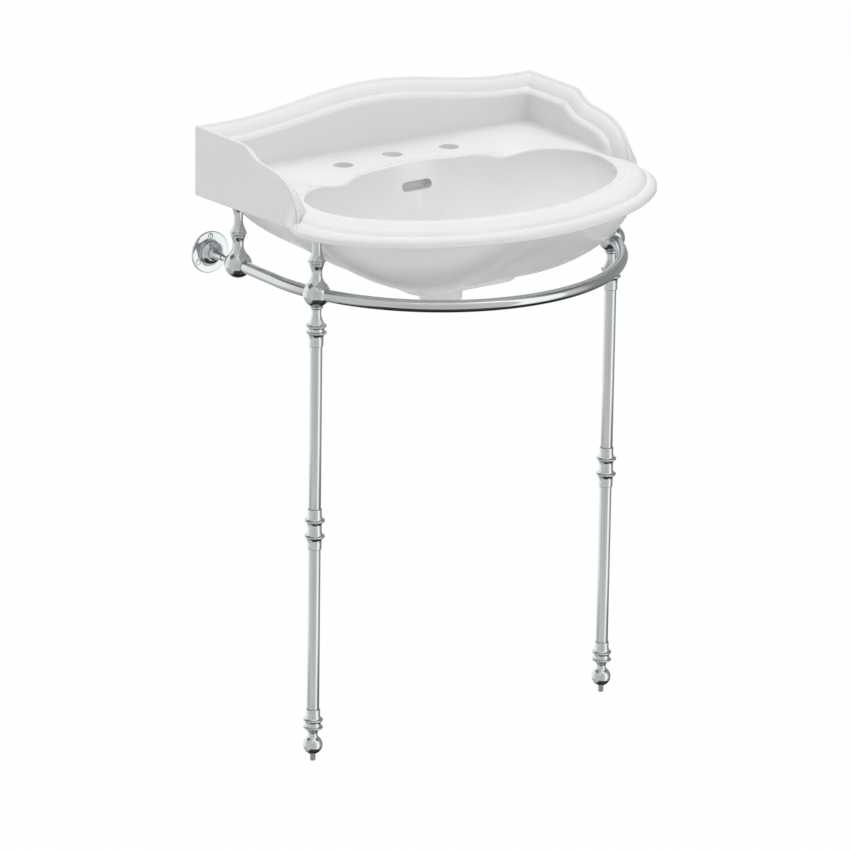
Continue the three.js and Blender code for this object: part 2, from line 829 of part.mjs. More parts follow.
function topCollar() {
  const outer = [
    [collarRadius, topCollarBottom],
    [collarRadius, lerp(topCollarBottom, topCollarLowerRing, nearShare)],
    [bandRadius, topCollarLowerRing - ringHalfHeight],
    ...ringMoulding(topCollarLowerRing, ringRadius),
    [bandRadius, topCollarLowerRing + ringHalfHeight],
    [bandRadius, topCollarUpperRing - ringHalfHeight],
    ...ringMoulding(topCollarUpperRing, ringRadius),
    ...pulled([bandRadius, topCollarUpperRing + ringHalfHeight],
      [topCollarNeckRadius, lerp(topCollarUpperRing, topCollarNeckHeight, farShare)],
      [topCollarNeckRadius, topCollarNeckHeight]),
    [ballFootRadius, topCollarTop],
  ];
  const below = { radius: tubeFit, end: topCollarLowerRing };
  const above = { radius: joiningFit, end: topCollarTop - joiningLength / 2 - clearance };
  return turnedWithBores(outer, below, above);
}

function midCollar() {
  const waist = (midCollarLowerRing + midCollarUpperRing) / 2;
  const outer = [
    [collarRadius, midCollarBottom],
    [collarRadius, lerp(midCollarBottom, midCollarLowerRing, middleShare)],
    [bandRadius, midCollarLowerRing - ringHalfHeight],
    ...ringMoulding(midCollarLowerRing, ringRadius),
    [bandRadius, midCollarLowerRing + ringHalfHeight],
    [collarRadius, waist - waistHalfHeight],
    [collarRadius, waist + waistHalfHeight],
    [bandRadius, midCollarUpperRing - ringHalfHeight],
    ...ringMoulding(midCollarUpperRing, ringRadius),
    [bandRadius, midCollarUpperRing + ringHalfHeight],
    [collarRadius, lerp(midCollarUpperRing, midCollarTop, middleShare)],
    [collarRadius, midCollarTop],
  ];
  return turnedWithBores(
    outer, { radius: tubeFit, end: midCollarLowerRing }, { radius: tubeFit, end: midCollarUpperRing });
}

function ballFoot() {
  const shoulder = onBall(ballShoulderAngle, footBallHeight, footBallRadius);
  const outer = [
    ...profileArc(
      0, footBallHeight, footBallRadius, ballWaistAngle, ballShoulderAngle, ballSteps).slice(0, -1),
    ...pulled(shoulder, [footNeckRadius, lerp(shoulder[1], footNeckHeight, nearShare)],
      [footNeckRadius, footNeckHeight], ringSteps),
    ...pulled([footNeckRadius, footNeckHeight],
      [footNeckRadius, lerp(footNeckHeight, footLowerRing, farShare)],
      [bandRadius, footLowerRing - ringHalfHeight], ringSteps).slice(1),
    ...ringMoulding(footLowerRing, footRingRadius),
    [bandRadius, footLowerRing + ringHalfHeight],
    [bandRadius, footUpperRing - ringHalfHeight],
    ...ringMoulding(footUpperRing, footRingRadius),
    [bandRadius, footUpperRing + ringHalfHeight],
    [collarRadius, lerp(footUpperRing, footTop, middleShare)],
    [collarRadius, footTop],
  ];
  const below = { radius: levellingRadius + clearance, end: levellingLength + footBoreRise };
  return turnedWithBores(outer, below, { radius: tubeFit, end: footLowerRing });
}

// The rail is one level line: straight from each rear ball, then half a circle round the front
const railCentreDistance = frontLegDistance - Math.sqrt(railRadius ** 2 - frontLegX ** 2);
const legAngle = Math.acos(frontLegX / railRadius);

class RailArc extends THREE.Curve {
  constructor(from, to) {
    super();
    this.from = from;
    this.to = to;
  }

  getPoint(share, target = new THREE.Vector3()) {
    const angle = lerp(this.from, this.to, share);
    return target.set(
      railRadius * Math.cos(angle),
      fromWall(railCentreDistance + railRadius * Math.sin(angle)),
      railHeight);
  }
}

// How far from a ball's centre its sockets end
const railStop = ballRadius - socketDepth;
const tubeBore = tubeRadius - tubeWall;

// A hollow rail, or with a gap the solid room that it takes in the ball castings
function tubeAlong(path, steps, gap) {
  const section = new THREE.Shape().absarc(0, 0, tubeRadius + gap, 0, Math.PI * 2, false);
  if (gap === 0) section.holes.push(new THREE.Path().absarc(0, 0, tubeBore, 0, Math.PI * 2, true));
  return new THREE.ExtrudeGeometry(
    section, { steps, extrudePath: path, bevelEnabled: false, curveSegments: tubeSides / 2 });
}

function frontRail(gap = 0) {
  const endAngle = (railStop + clearance - gap) / railRadius;
  const arc = new RailArc(legAngle + endAngle, Math.PI - legAngle - endAngle);
  return tubeAlong(arc, frontRailSteps, gap);
}

function sideRail(side, gap = 0) {
  const end = railStop + clearance - gap;
  const start = new THREE.Vector3(side * railRadius, fromWall(rearLegDistance + end), railHeight);
  const from = side > 0 ? 0 : Math.PI;
  const arc = new RailArc(from, from + side * (legAngle - end / railRadius));
  const path = new THREE.CurvePath();
  path.add(new THREE.LineCurve3(start, arc.getPoint(0)));
  path.add(arc);
  return tubeAlong(path, sideRailSteps, gap);
}

// The room that the arm takes in the back of a rear ball
function armSocket(x) {
  const room = rod(armRadius + clearance, railStop, ballRadius + overrun).rotateX(-Math.PI / 2);
  return room.translate(x, fromWall(rearLegDistance), railHeight);
}

function cut(geometry, ...cutters) {
  return toGeometry(cutters.reduce((solid, cutter) => solid.subtract(toSolid(cutter)), toSolid(geometry)));
}

// The wall fixings are turned about Z with the wall at z = 0, then swung to stand out from it
function outFromWall(geometry, x) {
  return geometry.rotateX(Math.PI / 2).translate(x, fromWall(0), railHeight);
}

function screwPlaces() {
  return Array.from({ length: screwsPerFlange }, (_, index) => {
    const angle = Math.PI / 2 + index * 2 * Math.PI / screwsPerFlange;
    return [screwCircleRadius * Math.cos(angle), screwCircleRadius * Math.sin(angle)];
  });
}

const headDepth = screwHeadRadius - screwShankRadius;

function screw(grow) {
  const top = flangeThickness;
  return turned([
    [0, -overrun * grow],
    [screwShankRadius + clearance * grow, -overrun * grow],
    [screwShankRadius + clearance * grow, top - headDepth],
    [screwHeadRadius + clearance * grow, top],
    [screwHeadRadius + clearance * grow, top + overrun * grow],
    [0, top + overrun * grow],
  ].filter(([radius, height], index, all) => index === 0
    || radius !== all[index - 1][0] || height !== all[index - 1][1]), smallSides);
}

function wallFlange() {
  const disc = turnedWithBores([
    [flangeRadius, 0],
    [flangeRadius, flangeEdgeHeight],
    [flangeRadius - flangeEdgeInset, flangeThickness],
    ...pulled([domeRadius, flangeThickness], [domeRadius, flangeThickness + domePullHeight],
      [domeTopRadius, flangeThickness + domeHeight]),
  ], undefined, { radius: armRadius + clearance, end: flangeThickness }, holeSides);
  return cut(disc, ...screwPlaces().map(([x, y]) => screw(1).translate(x, y, 0)));
}

function armNut() {
  const bottom = flangeThickness + domeHeight + clearance;
  const bore = armRadius + clearance;
  return turned([
    [bore, bottom], [nutRadius, bottom], [nutRadius, bottom + nutCollarLength],
    [nutShoulderRadius, bottom + nutCollarLength],
    [bore + nutTipWall, bottom + nutLength], [bore, bottom + nutLength], [bore, bottom],
  ]);
}

function wallArm() {
  return rod(armRadius, flangeThickness + clearance, rearLegDistance - railStop - clearance, smallSides);
}

for (const { name, x, distance } of uprights) {
  const side = Math.sign(x);
  const seat = seatHeight(distance);
  const washerTop = seat - clearance;
  const spindleTop = washerTop - washerThickness - clearance - railHeight;
  const atRail = (geometry) => geometry.translate(x, fromWall(distance), railHeight);
  const overLeg = distance === frontLegDistance;
  const rooms = [sideRail(side, clearance), overLeg ? frontRail(clearance) : armSocket(x)];
  addMesh(`ball_${name}`, cut(atRail(ballCasting(overLeg)), ...rooms), chromed);
  addMesh(`spindle_${name}`, atRail(spindle(spindleTop)), chromed);
  addMesh(`spindle_stud_${name}`, atRail(joiningStud(ballNeckTop)), steely);
  addMesh(
    `washer_${name}`,
    rod(washerRadius, washerTop - washerThickness, washerTop).translate(x, fromWall(distance), 0),
    rubbery);
}

for (const [name, side] of [['left', -1], ['right', 1]]) {
  const leg = (geometry, rise = 0) => geometry.translate(
    frontLegX * side, fromWall(frontLegDistance), rise);
  addMesh(`top_collar_${name}`, leg(topCollar(), railHeight), chromed);
  addMesh(`collar_stud_${name}`, leg(joiningStud(topCollarTop), railHeight), steely);
  addMesh(
    `upper_tube_${name}`,
    leg(hollowTube(midCollarUpperRing + clearance, railHeight + topCollarLowerRing - clearance)),
    chromed);
  addMesh(`mid_collar_${name}`, leg(midCollar()), chromed);
  addMesh(
    `lower_tube_${name}`,
    leg(hollowTube(footLowerRing + clearance, midCollarLowerRing - clearance)), chromed);
  addMesh(`foot_${name}`, leg(ballFoot()), chromed);
  addMesh(`levelling_stud_${name}`, leg(rod(levellingRadius, 0, levellingLength, smallSides)), steely);

  addMesh(`rail_${name}`, sideRail(side), chromed);
  addMesh(`wall_flange_${name}`, outFromWall(wallFlange(), rearLegX * side), chromed);
  addMesh(`arm_nut_${name}`, outFromWall(armNut(), rearLegX * side), chromed);
  addMesh(`wall_arm_${name}`, outFromWall(wallArm(), rearLegX * side), chromed);
  screwPlaces().forEach(([x, y], index) => addMesh(
    `flange_screw_${name}_${index + 1}`,
    outFromWall(screw(0).translate(x, y, 0), rearLegX * side), chromed));
}
addMesh('rail_front', frontRail(), chromed);

export default washbasin;
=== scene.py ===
# %% [markdown]
# # A washbasin on a chromed stand
#
# The solids of this washbasin, with their sizes and the two levelling studs that move, are loaded
# first and stay where they are. Each cell below makes one piece of the real thing in finer shape
# over its solid, or gives it its finish. Lengths are written in millimetres and turned into metres
# at the last moment, as Blender counts in metres.

# %% Load the solids that everything is fitted to
import json
import math
from bisect import bisect_left
from functools import partial
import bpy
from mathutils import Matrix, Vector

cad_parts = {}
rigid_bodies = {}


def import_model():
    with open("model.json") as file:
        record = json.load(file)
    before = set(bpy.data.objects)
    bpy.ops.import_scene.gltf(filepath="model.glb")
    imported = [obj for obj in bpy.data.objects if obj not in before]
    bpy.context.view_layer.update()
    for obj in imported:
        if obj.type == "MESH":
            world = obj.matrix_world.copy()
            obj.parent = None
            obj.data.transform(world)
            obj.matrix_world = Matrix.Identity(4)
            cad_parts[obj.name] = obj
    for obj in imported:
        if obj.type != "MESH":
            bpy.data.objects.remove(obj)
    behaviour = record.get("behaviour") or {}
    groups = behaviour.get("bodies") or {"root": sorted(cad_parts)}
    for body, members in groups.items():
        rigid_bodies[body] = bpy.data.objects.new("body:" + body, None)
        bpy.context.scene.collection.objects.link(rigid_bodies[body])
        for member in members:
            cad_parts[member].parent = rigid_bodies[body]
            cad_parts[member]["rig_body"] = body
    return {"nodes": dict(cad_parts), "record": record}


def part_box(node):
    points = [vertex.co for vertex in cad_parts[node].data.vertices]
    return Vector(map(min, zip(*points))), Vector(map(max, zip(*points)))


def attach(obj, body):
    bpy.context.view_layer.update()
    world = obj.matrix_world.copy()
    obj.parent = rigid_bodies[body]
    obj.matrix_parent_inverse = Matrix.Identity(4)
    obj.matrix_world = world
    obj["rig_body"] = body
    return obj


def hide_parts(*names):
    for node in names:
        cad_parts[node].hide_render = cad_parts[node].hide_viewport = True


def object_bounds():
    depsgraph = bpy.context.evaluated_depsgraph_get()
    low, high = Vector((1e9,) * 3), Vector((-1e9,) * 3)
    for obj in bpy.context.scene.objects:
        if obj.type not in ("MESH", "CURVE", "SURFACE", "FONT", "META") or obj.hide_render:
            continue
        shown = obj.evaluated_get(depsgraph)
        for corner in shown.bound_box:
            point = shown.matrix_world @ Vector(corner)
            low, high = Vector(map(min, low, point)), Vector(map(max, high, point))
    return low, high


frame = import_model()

from types import SimpleNamespace

import bmesh
import bpy
from mathutils import Matrix, Vector
from mathutils.geometry import interpolate_bezier

MM = 0.001
solids_box = [list(corner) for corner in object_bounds()]
solids = frame["nodes"]
print("solids:", len(solids), "box:", solids_box)


def shown(name, data):
    """Makes an object and puts it into the scene."""
    made = bpy.data.objects.new(name, data)
    bpy.context.scene.collection.objects.link(made)
    return made


def heights(node):
    """How high the box of a solid starts and ends, in millimetres."""
    return [corner.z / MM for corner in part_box(node)]


# %% [markdown]
# ## Where the camera stands
#
# The picture was taken from far away with a long lens, a little above the basin and well to its
# left, so upright lines stay almost parallel. The two directions below are the picture's own right
# and up. The third one, towards the camera, stands square to both, and the camera looks against it.

# %% Place the camera
camera_place = Vector((-5.27073, -7.33126, 3.41597))
picture_right = Vector((0.81727, -0.57610, 0.01356))
picture_up = Vector((0.16725, 0.25965, 0.95111))

lens = bpy.data.cameras.new("camera")
lens.sensor_fit = "HORIZONTAL"
lens.sensor_width = 36.0
lens.lens = 259.41
lens.clip_end = 100.0
camera = shown("camera", lens)
picture_back = picture_right.cross(picture_up)
turn_of_camera = Matrix((picture_right, picture_up, picture_back)).transposed()
camera.matrix_world = Matrix.Translation(camera_place) @ turn_of_camera.to_4x4()
bpy.context.scene.camera = camera
print("camera is", round(camera_place.length, 2), "m away, with a lens of", lens.lens, "mm")

# %% [markdown]
# ## Finishes as sums of sockets
#
# A finish is a small network of nodes. Wiring each node by hand hides what the network means, so
# one class wraps an output and lets it be added, multiplied and subtracted like a number. Every
# other node comes from one method that takes its kind, its settings and what feeds it.

# %% A wire that can be used in sums
class Wire:
    """One output of a finish's network."""

    def __init__(self, finish, socket):
        self.finish = finish
        self.socket = socket

    def sum_node(self, operation, first, second):
        return self.finish.node("ShaderNodeMath", {"operation": operation}, {0: first, 1: second})

    def __add__(self, other):
        return self.sum_node("ADD", self, other)

    __radd__ = __add__

    def __mul__(self, other):
        return self.sum_node("MULTIPLY", self, other)

    __rmul__ = __mul__

    def __sub__(self, other):
        return self.sum_node("SUBTRACT", self, other)

    def __rsub__(self, other):
        return self.sum_node("SUBTRACT", other, self)


class Finish:
    """A material that is being put together."""

    def __init__(self, name, tree=None):
        if tree is None:
            self.material = bpy.data.materials.new(name)
            self.material.use_nodes = True
            tree = self.material.node_tree
        self.tree = tree
        self.shader = tree.nodes.get("Principled BSDF")

    def feed(self, socket, value):
        if isinstance(value, Wire):
            self.tree.links.new(value.socket, socket)
        else:
            socket.default_value = value

    def node(self, kind, settings, inputs, output=0):
        made = self.tree.nodes.new(kind)
        for setting, value in settings.items():
            if setting == "stops":
                while len(made.color_ramp.elements) < len(value):
                    made.color_ramp.elements.new(0.5)
                for stop, (place, grey) in zip(made.color_ramp.elements, value):
                    stop.position = place
                    stop.color = (grey, grey, grey, 1.0)
            else:
                setattr(made, setting, value)
        for key, value in inputs.items():
            self.feed(made.inputs[key], value)
        return Wire(self, made.outputs[output])

    def looked_at(self):
        """One for what the camera sees, directly or in metal and glaze, and nothing for plain light."""
        rays = [self.node("ShaderNodeLightPath", {}, {}, ray)
                for ray in ("Is Camera Ray", "Is Glossy Ray", "Is Transmission Ray")]
        return self.node("ShaderNodeClamp", {}, {0: rays[0] + rays[1] + rays[2]})

    def place(self):
        return self.node("ShaderNodeTexCoord", {}, {}, "Object")

    def clouds(self, scale, detail=2.0, roughness=0.5):
        return self.node(
            "ShaderNodeTexNoise", {},
            {"Vector": self.place(), "Scale": scale, "Detail": detail, "Roughness": roughness}, "Fac")

    def mixed(self, share, first, second):
        return self.node("ShaderNodeMix", {"data_type": "RGBA"}, {0: share, 6: first, 7: second}, 2)

    def between(self, share, first, second):
        return self.mixed(share, (*first, 1.0), (*second, 1.0))

    def bumped(self, height, depth, strength=1.0):
        return self.node(
            "ShaderNodeBump", {}, {"Height": height, "Distance": depth, "Strength": strength})

    def wear(self, **sockets):
        for name, value in sockets.items():
            self.feed(self.shader.inputs[name.replace("_", " ")], value)
        print("finish", self.material.name, "has", len(self.tree.nodes), "nodes")
        return self.material


# %% [markdown]
# ## Glazed china
#
# Vitreous china is dipped or sprayed with a glaze that melts into a skin of glass. It is white all
# through, a touch warmer where the skin is thin, and its surface is never quite flat: the glass
# settles in slow waves that show only in reflections. So the colour hardly changes, a clear coat
# gives the shine, and two sizes of noise bend the reflections a little.

# %% Make the glaze
glaze = Finish("glazed_china")
pooling = glaze.clouds(11.0)
orange_peel = glaze.clouds(240.0, 1.0)
slow_waves = glaze.clouds(26.0, 1.0)
glazed_china = glaze.wear(
    Base_Color=glaze.between(pooling, (0.80, 0.80, 0.795), (0.77, 0.775, 0.78)),
    Roughness=0.16 + pooling * 0.08,
    Normal=glaze.bumped(slow_waves + orange_peel * 0.04, 0.0006, 0.5),
    Coat_Weight=0.25,
    Coat_Roughness=0.06,
    Specular_IOR_Level=0.2,
)

# %% [markdown]
# ## Chrome plate
#
# The stand is turned and cast brass, polished and plated. Chrome is a cool grey mirror. Wiping
# leaves faint patches on it, and polishing leaves lines too fine to see one by one. Both come from
# noise that feeds the roughness and a very shallow bump, and the patches change the grey a little.

# %% Make the plate
plate = Finish("chrome")
wiped = plate.clouds(38.0, 3.0, 0.6)
polish_lines = plate.clouds(900.0, 2.0)
chrome = plate.wear(
    Base_Color=plate.between(wiped, (0.56, 0.585, 0.59), (0.52, 0.545, 0.555)),
    Metallic=1.0,
    Roughness=0.05 + wiped * 0.07 + polish_lines * 0.03,
    Normal=plate.bumped(wiped + polish_lines * 0.05, 0.00005, 0.4),
)

# %% [markdown]
# ## Rubber and plain steel
#
# Between each spindle and the china lies a washer of black rubber, dull and faintly bloomed. The
# levelling studs and the studs inside the castings are plain steel with the grey of a rolled thread.

# %% Make the rubber and the steel
moulded = Finish("black_rubber")
bloom = moulded.clouds(160.0, 4.0, 0.7)
black_rubber = moulded.wear(
    Base_Color=moulded.between(bloom, (0.018, 0.018, 0.019), (0.05, 0.05, 0.052)),
    Roughness=0.62 + bloom * 0.25,
    Normal=moulded.bumped(bloom, 0.0001, 0.6),
)
rolled = Finish("plain_steel")
grain = rolled.clouds(420.0, 3.0, 0.6)
plain_steel = rolled.wear(
    Base_Color=rolled.between(grain, (0.42, 0.43, 0.44), (0.56, 0.56, 0.565)),
    Metallic=1.0,
    Roughness=0.28 + grain * 0.14,
    Normal=rolled.bumped(grain, 0.00004, 0.5),
)
finishes = {
    "glazed_china": glazed_china,
    "chrome": chrome,
    "black_rubber": black_rubber,
    "plain_steel": plain_steel,
}

# %% Give every solid the finish that the record names for it
slot_of = {part["node"]: part["material_slot"] for part in frame["record"]["subparts"]}
for node, solid in solids.items():
    solid.data.materials.clear()
    solid.data.materials.append(finishes[slot_of[node]])
print("dressed", len(slot_of), "solids")

# %% [markdown]
# ## From a half profile to a turned piece
#
# Almost all of the stand comes off a lathe. A half profile, written as radius and height, is spun
# once round its axis and merged where the last step meets the first. The sharp lines are then
# broken with a very small bevel, as polishing does, because a perfectly sharp edge catches no light.

# %% Helpers that finish a piece
def as_piece(name, mesh, node, sharp_angle=38.0):
    """Turns a bmesh into a piece that stands for one solid, with that solid's finish and body."""
    for face in mesh.faces:
        face.smooth = True
    for edge in mesh.edges:
        if len(edge.link_faces) == 2:
            edge.smooth = edge.calc_face_angle() < math.radians(sharp_angle)
    data = bpy.data.meshes.new(name)
    mesh.to_mesh(data)
    mesh.free()
    data.materials.append(finishes[slot_of[node]])
    piece = shown(name, data)
    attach(piece, solids[node]["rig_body"])
    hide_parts(node)
    return piece


def break_edges(mesh, width, angle=30.0):
    """Bevels the edges that turn by more than an angle."""
    sharp = [edge for edge in mesh.edges
             if len(edge.link_faces) == 2 and edge.calc_face_angle() > math.radians(angle)]
    bmesh.ops.bevel(
        mesh, geom=sharp, offset=width * MM, offset_type="OFFSET", segments=2,
        profile=0.5, affect="EDGES", material=-1, clamp_overlap=True)


def spun(profile, sides=64, closed=False, edge_width=0.22):
    """Spins a half profile of (radius, height) pairs, in millimetres, about an upright axis."""
    mesh = bmesh.new()
    points = [mesh.verts.new((radius * MM, 0.0, height * MM)) for radius, height in profile]
    ends = points[1:] + points[:1] if closed else points[1:]
    line = [mesh.edges.new(pair) for pair in zip(points, ends)]
    bmesh.ops.spin(
        mesh, geom=points + line, axis=(0, 0, 1), cent=(0, 0, 0),
        angle=math.tau, steps=sides, use_merge=True)
    bmesh.ops.remove_doubles(mesh, verts=mesh.verts[:], dist=1e-7)
    bmesh.ops.recalc_face_normals(mesh, faces=mesh.faces[:])
    if edge_width:
        break_edges(mesh, edge_width)
    return mesh


def stood_at(mesh, x, distance):
    """Moves a piece from the axis to its place: to the right, and out from the wall."""
    bmesh.ops.translate(mesh, verts=mesh.verts[:], vec=(x * MM, (wall - distance) * MM, 0))
    return mesh


wall = solids_box[1][1] / MM
print("the wall stands", round(wall, 1), "mm behind the middle")

# %% Cut or join two meshes
def worked(mesh, cutter, operation):
    """Cuts or joins one mesh with another and hands back the result."""
    made = []
    for name, part in (("china", mesh), ("cutter", cutter)):
        data = bpy.data.meshes.new(name)
        part.to_mesh(data)
        part.free()
        made.append(shown(name, data))
    boolean = made[0].modifiers.new("work", "BOOLEAN")
    boolean.operation = operation
    boolean.solver = "EXACT"
    boolean.object = made[1]
    result = bmesh.new()
    seen = made[0].evaluated_get(bpy.context.evaluated_depsgraph_get())
    result.from_mesh(seen.to_mesh())
    seen.to_mesh_clear()
    for body in made:
        data = body.data
        bpy.data.objects.remove(body)
        bpy.data.meshes.remove(data)
    return result


# %% Curves for the profiles
def arc(centre, height, radius, start, end, steps=10):
    """Points of a profile along an arc, with angles in degrees from the outward radius."""
    turns = [math.radians(start + (end - start) * step / steps) for step in range(steps + 1)]
    return [(centre + radius * math.cos(turn), height + radius * math.sin(turn)) for turn in turns]


def hollowed(start, pull, end, steps=10):
    """Points of a profile along a curve that leaves its start towards a pull point."""
    points = []
    for step in range(steps + 1):
        share = step / steps
        rest = 1 - share
        points.append(tuple(
            rest * rest * a + 2 * rest * share * b + share * share * c
            for a, b, c in zip(start, pull, end)))
    return points


def ring(height, radius, half_height=1.7):
    """A round ring moulding that stands out to a radius."""
    return arc(radius - half_height, height, half_height, -90, 90, 8)


def over(height, share, other):
    return height + (other - height) * share


# %% [markdown]
# ## The ball castings
#
# Where the rail meets an upright, the real stand has a cast ball with a hollow shoulder that
# rises into a slim neck and opens again under the spindle. The front ones carry on down to the
# leg with a small bead, and the rear ones end in the ball. Each is one spun profile. The rails
# simply run into the ball, so no socket is cut: the joint that shows is the line where they meet.

# %% Turn the ball castings
uprights = {
    "front_left": (-277.8, 274.0), "front_right": (277.8, 274.0),
    "rear_left": (-291.5, 80.7), "rear_right": (291.5, 80.7),
}
legs = {"left": uprights["front_left"], "right": uprights["front_right"]}
rail_height, ball_radius, shoulder_turn = 752.7, 21.1, 46.0
neck_radius, neck_height, neck_top, neck_flare = 8.2, 784.6, 798.7, 11.2
stud_bore, stud_reach, leg_top = 4.3, 13.3, 729.0


def shoulder_of(radius, height):
    """The place on a ball where its shoulder begins."""
    turn = math.radians(shoulder_turn)
    return radius * math.cos(turn), height + radius * math.sin(turn)


shoulder = shoulder_of(ball_radius, rail_height)
ball_neck = (
    hollowed(shoulder, (neck_radius + 0.4, over(shoulder[1], 0.36, neck_height)), (neck_radius, neck_height))
    + hollowed((neck_radius, neck_height), (neck_radius, over(neck_height, 0.5, neck_top)),
               (neck_flare, neck_top - 1.2), 6)[1:]
    + [(neck_flare, neck_top), (stud_bore, neck_top), (stud_bore, neck_top - stud_reach),
       (0, neck_top - stud_reach)]
)
rear_ball = arc(0, rail_height, ball_radius, -90, shoulder_turn, 30)[:-1] + ball_neck
rear_ball[0] = (0, rail_height - ball_radius)
ball_bead = (
    [(0, leg_top + stud_reach), (stud_bore, leg_top + stud_reach), (stud_bore, leg_top), (7.8, leg_top),
     (7.8, leg_top + 0.4)]
    + arc(8.6, leg_top + 2.2, 1.6, -70, 90, 8)
    + [(9.0, leg_top + 3.9)]
)
front_ball = ball_bead + arc(0, rail_height, ball_radius, -64.5, shoulder_turn, 26)[:-1] + ball_neck
for place, (x, distance) in uprights.items():
    profile = front_ball if place.startswith("front") else rear_ball
    piece = as_piece("cast_ball_" + place, stood_at(spun(profile), x, distance), "ball_" + place)
    print(piece.name, len(piece.data.polygons), "faces")

# %% [markdown]
# ## The spindles and their washers
#
# Above each ball stands a spindle: a swell between two fine rings, a long hollow taper, and a
# flare under the rubber washer. The fine rings are what the eye reads, so their grooves are
# written out point by point and get a smaller bevel than the rest.

# %% Turn the spindles
fit = 0.3
bottom = neck_top + fit
ring_middle, swell_top, stem_start = bottom + 4.0, bottom + 9.4, bottom + 25.0
for place, (x, distance) in uprights.items():
    top = heights("spindle_" + place)[1]
    profile = (
        [(0, bottom + stud_reach), (stud_bore, bottom + stud_reach), (stud_bore, bottom), (10.9, bottom)]
        + arc(10.9, bottom + 0.9, 0.9, -90, 60, 6)
        + [(10.6, ring_middle - 1.8), (12.0, ring_middle - 1.3)]
        + ring(ring_middle, 13.4, 1.1)
        + [(12.1, ring_middle + 1.5), (11.4, ring_middle + 2.3)]
        + arc(10.3, ring_middle + 4.0, 1.3, -60, 40, 6)
        + hollowed((11.1, swell_top), (7.4, over(swell_top, 0.36, stem_start)), (7.1, stem_start), 12)
        + hollowed((7.1, stem_start + 1.5), (7.1, over(stem_start + 1.5, 0.55, top)), (10.0, top - 1.6), 8)
        + [(10.4, top - 0.8), (10.2, top), (0, top)]
    )
    piece = as_piece(
        "turned_spindle_" + place, stood_at(spun(profile, edge_width=0.12), x, distance), "spindle_" + place)
    print(piece.name, "reaches", round(top, 1), "mm")

# %% Mould the washers
for place, (x, distance) in uprights.items():
    low, high = heights("washer_" + place)
    middle = (low + high) / 2
    half = (high - low) / 2
    profile = [(0, low)] + arc(10.0 - half, middle, half, -90, 90, 8) + [(0, high)]
    as_piece("rubber_washer_" + place, stood_at(spun(profile, edge_width=0), x, distance), "washer_" + place)
    print("washer", place, "is", round(high - low, 1), "mm thick")

# %% [markdown]
# ## The legs
#
# Each front leg is two tubes joined by a turned coupling, with a collar at the top and a ball
# foot at the bottom. All three carry the same pair of round rings with a band between them.

# %% Turn the collars
tube_radius, tube_bore, tube_fit = 9.525, 7.925, 9.825
ring_radius, collar_radius, band_radius = 16.0, 11.0, 12.9
top_rings, coupling_rings, foot_rings = (691.5, 702.0), (365.9, 391.3), (54.4, 66.7)


def sleeve(height, mouth, cone, pull, band, floor=0.0):
    """The socket for a tube, from its floor round the mouth to the ring above or below it.

    All of it is measured from the ring's height, and a sleeve that opens upwards is turned over.
    """
    edge = math.copysign(0.7, mouth)
    points = [(0, height + floor), (tube_fit, height + floor), (tube_fit, height + mouth),
              (collar_radius - 0.5, height + mouth), (collar_radius, height + mouth - edge)]
    points += hollowed((collar_radius, height + cone), (collar_radius, height + pull),
                       (band_radius, height + band), 5)
    return points if mouth < 0 else points[::-1]


def sunk_band(low, high):
    """The band between two rings, with a shallow groove at each side of it."""
    return [(band_radius, low), (band_radius - 0.5, low + 1.5),
            (band_radius - 0.5, high - 1.5), (band_radius, high)]


low, high = top_rings
top_collar = (
    sleeve(low, -22.0, -12.5, -5.0, -2.3)
    + ring(low, ring_radius)
    + sunk_band(low + 2.4, high - 2.3)
    + ring(high, ring_radius)
    + hollowed((band_radius, high + 2.4), (7.2, high + 12.5), (7.4, high + 20.0), 12)
    + [(7.5, high + 22.5), (7.8, high + 25.6), (7.8, leg_top - fit), (stud_bore, leg_top - fit),
       (stud_bore, high + 13.4), (0, high + 13.4)]
)
low, high = coupling_rings
middle_collar = (
    sleeve(low, -20.9, -11.4, -4.9, -2.4)
    + ring(low, ring_radius)
    + hollowed((band_radius, low + 2.4), (collar_radius, low + 5.1), (collar_radius, low + 8.7), 5)
    + hollowed((collar_radius, high - 8.7), (collar_radius, high - 5.1), (band_radius, high - 2.4), 5)
    + ring(high, ring_radius)
    + sleeve(high, 18.7, 9.7, 4.9, 2.4)
)
for side, (x, distance) in legs.items():
    as_piece("turned_top_collar_" + side, stood_at(spun(top_collar), x, distance), "top_collar_" + side)
    as_piece("turned_coupling_" + side, stood_at(spun(middle_collar), x, distance), "mid_collar_" + side)
print("rings stand out to", ring_radius, "mm on tubes of", tube_radius, "mm")

# %% Draw the leg tubes
def leg_tube(node):
    low, high = heights(node)
    return spun(
        [(tube_bore, low), (tube_radius, low), (tube_radius, high), (tube_bore, high)], closed=True)


for side, (x, distance) in legs.items():
    for node in ("upper_tube_" + side, "lower_tube_" + side):
        piece = as_piece("drawn_" + node, stood_at(leg_tube(node), x, distance), node)
        print(piece.name, round(piece.dimensions.z, 3), "m long")

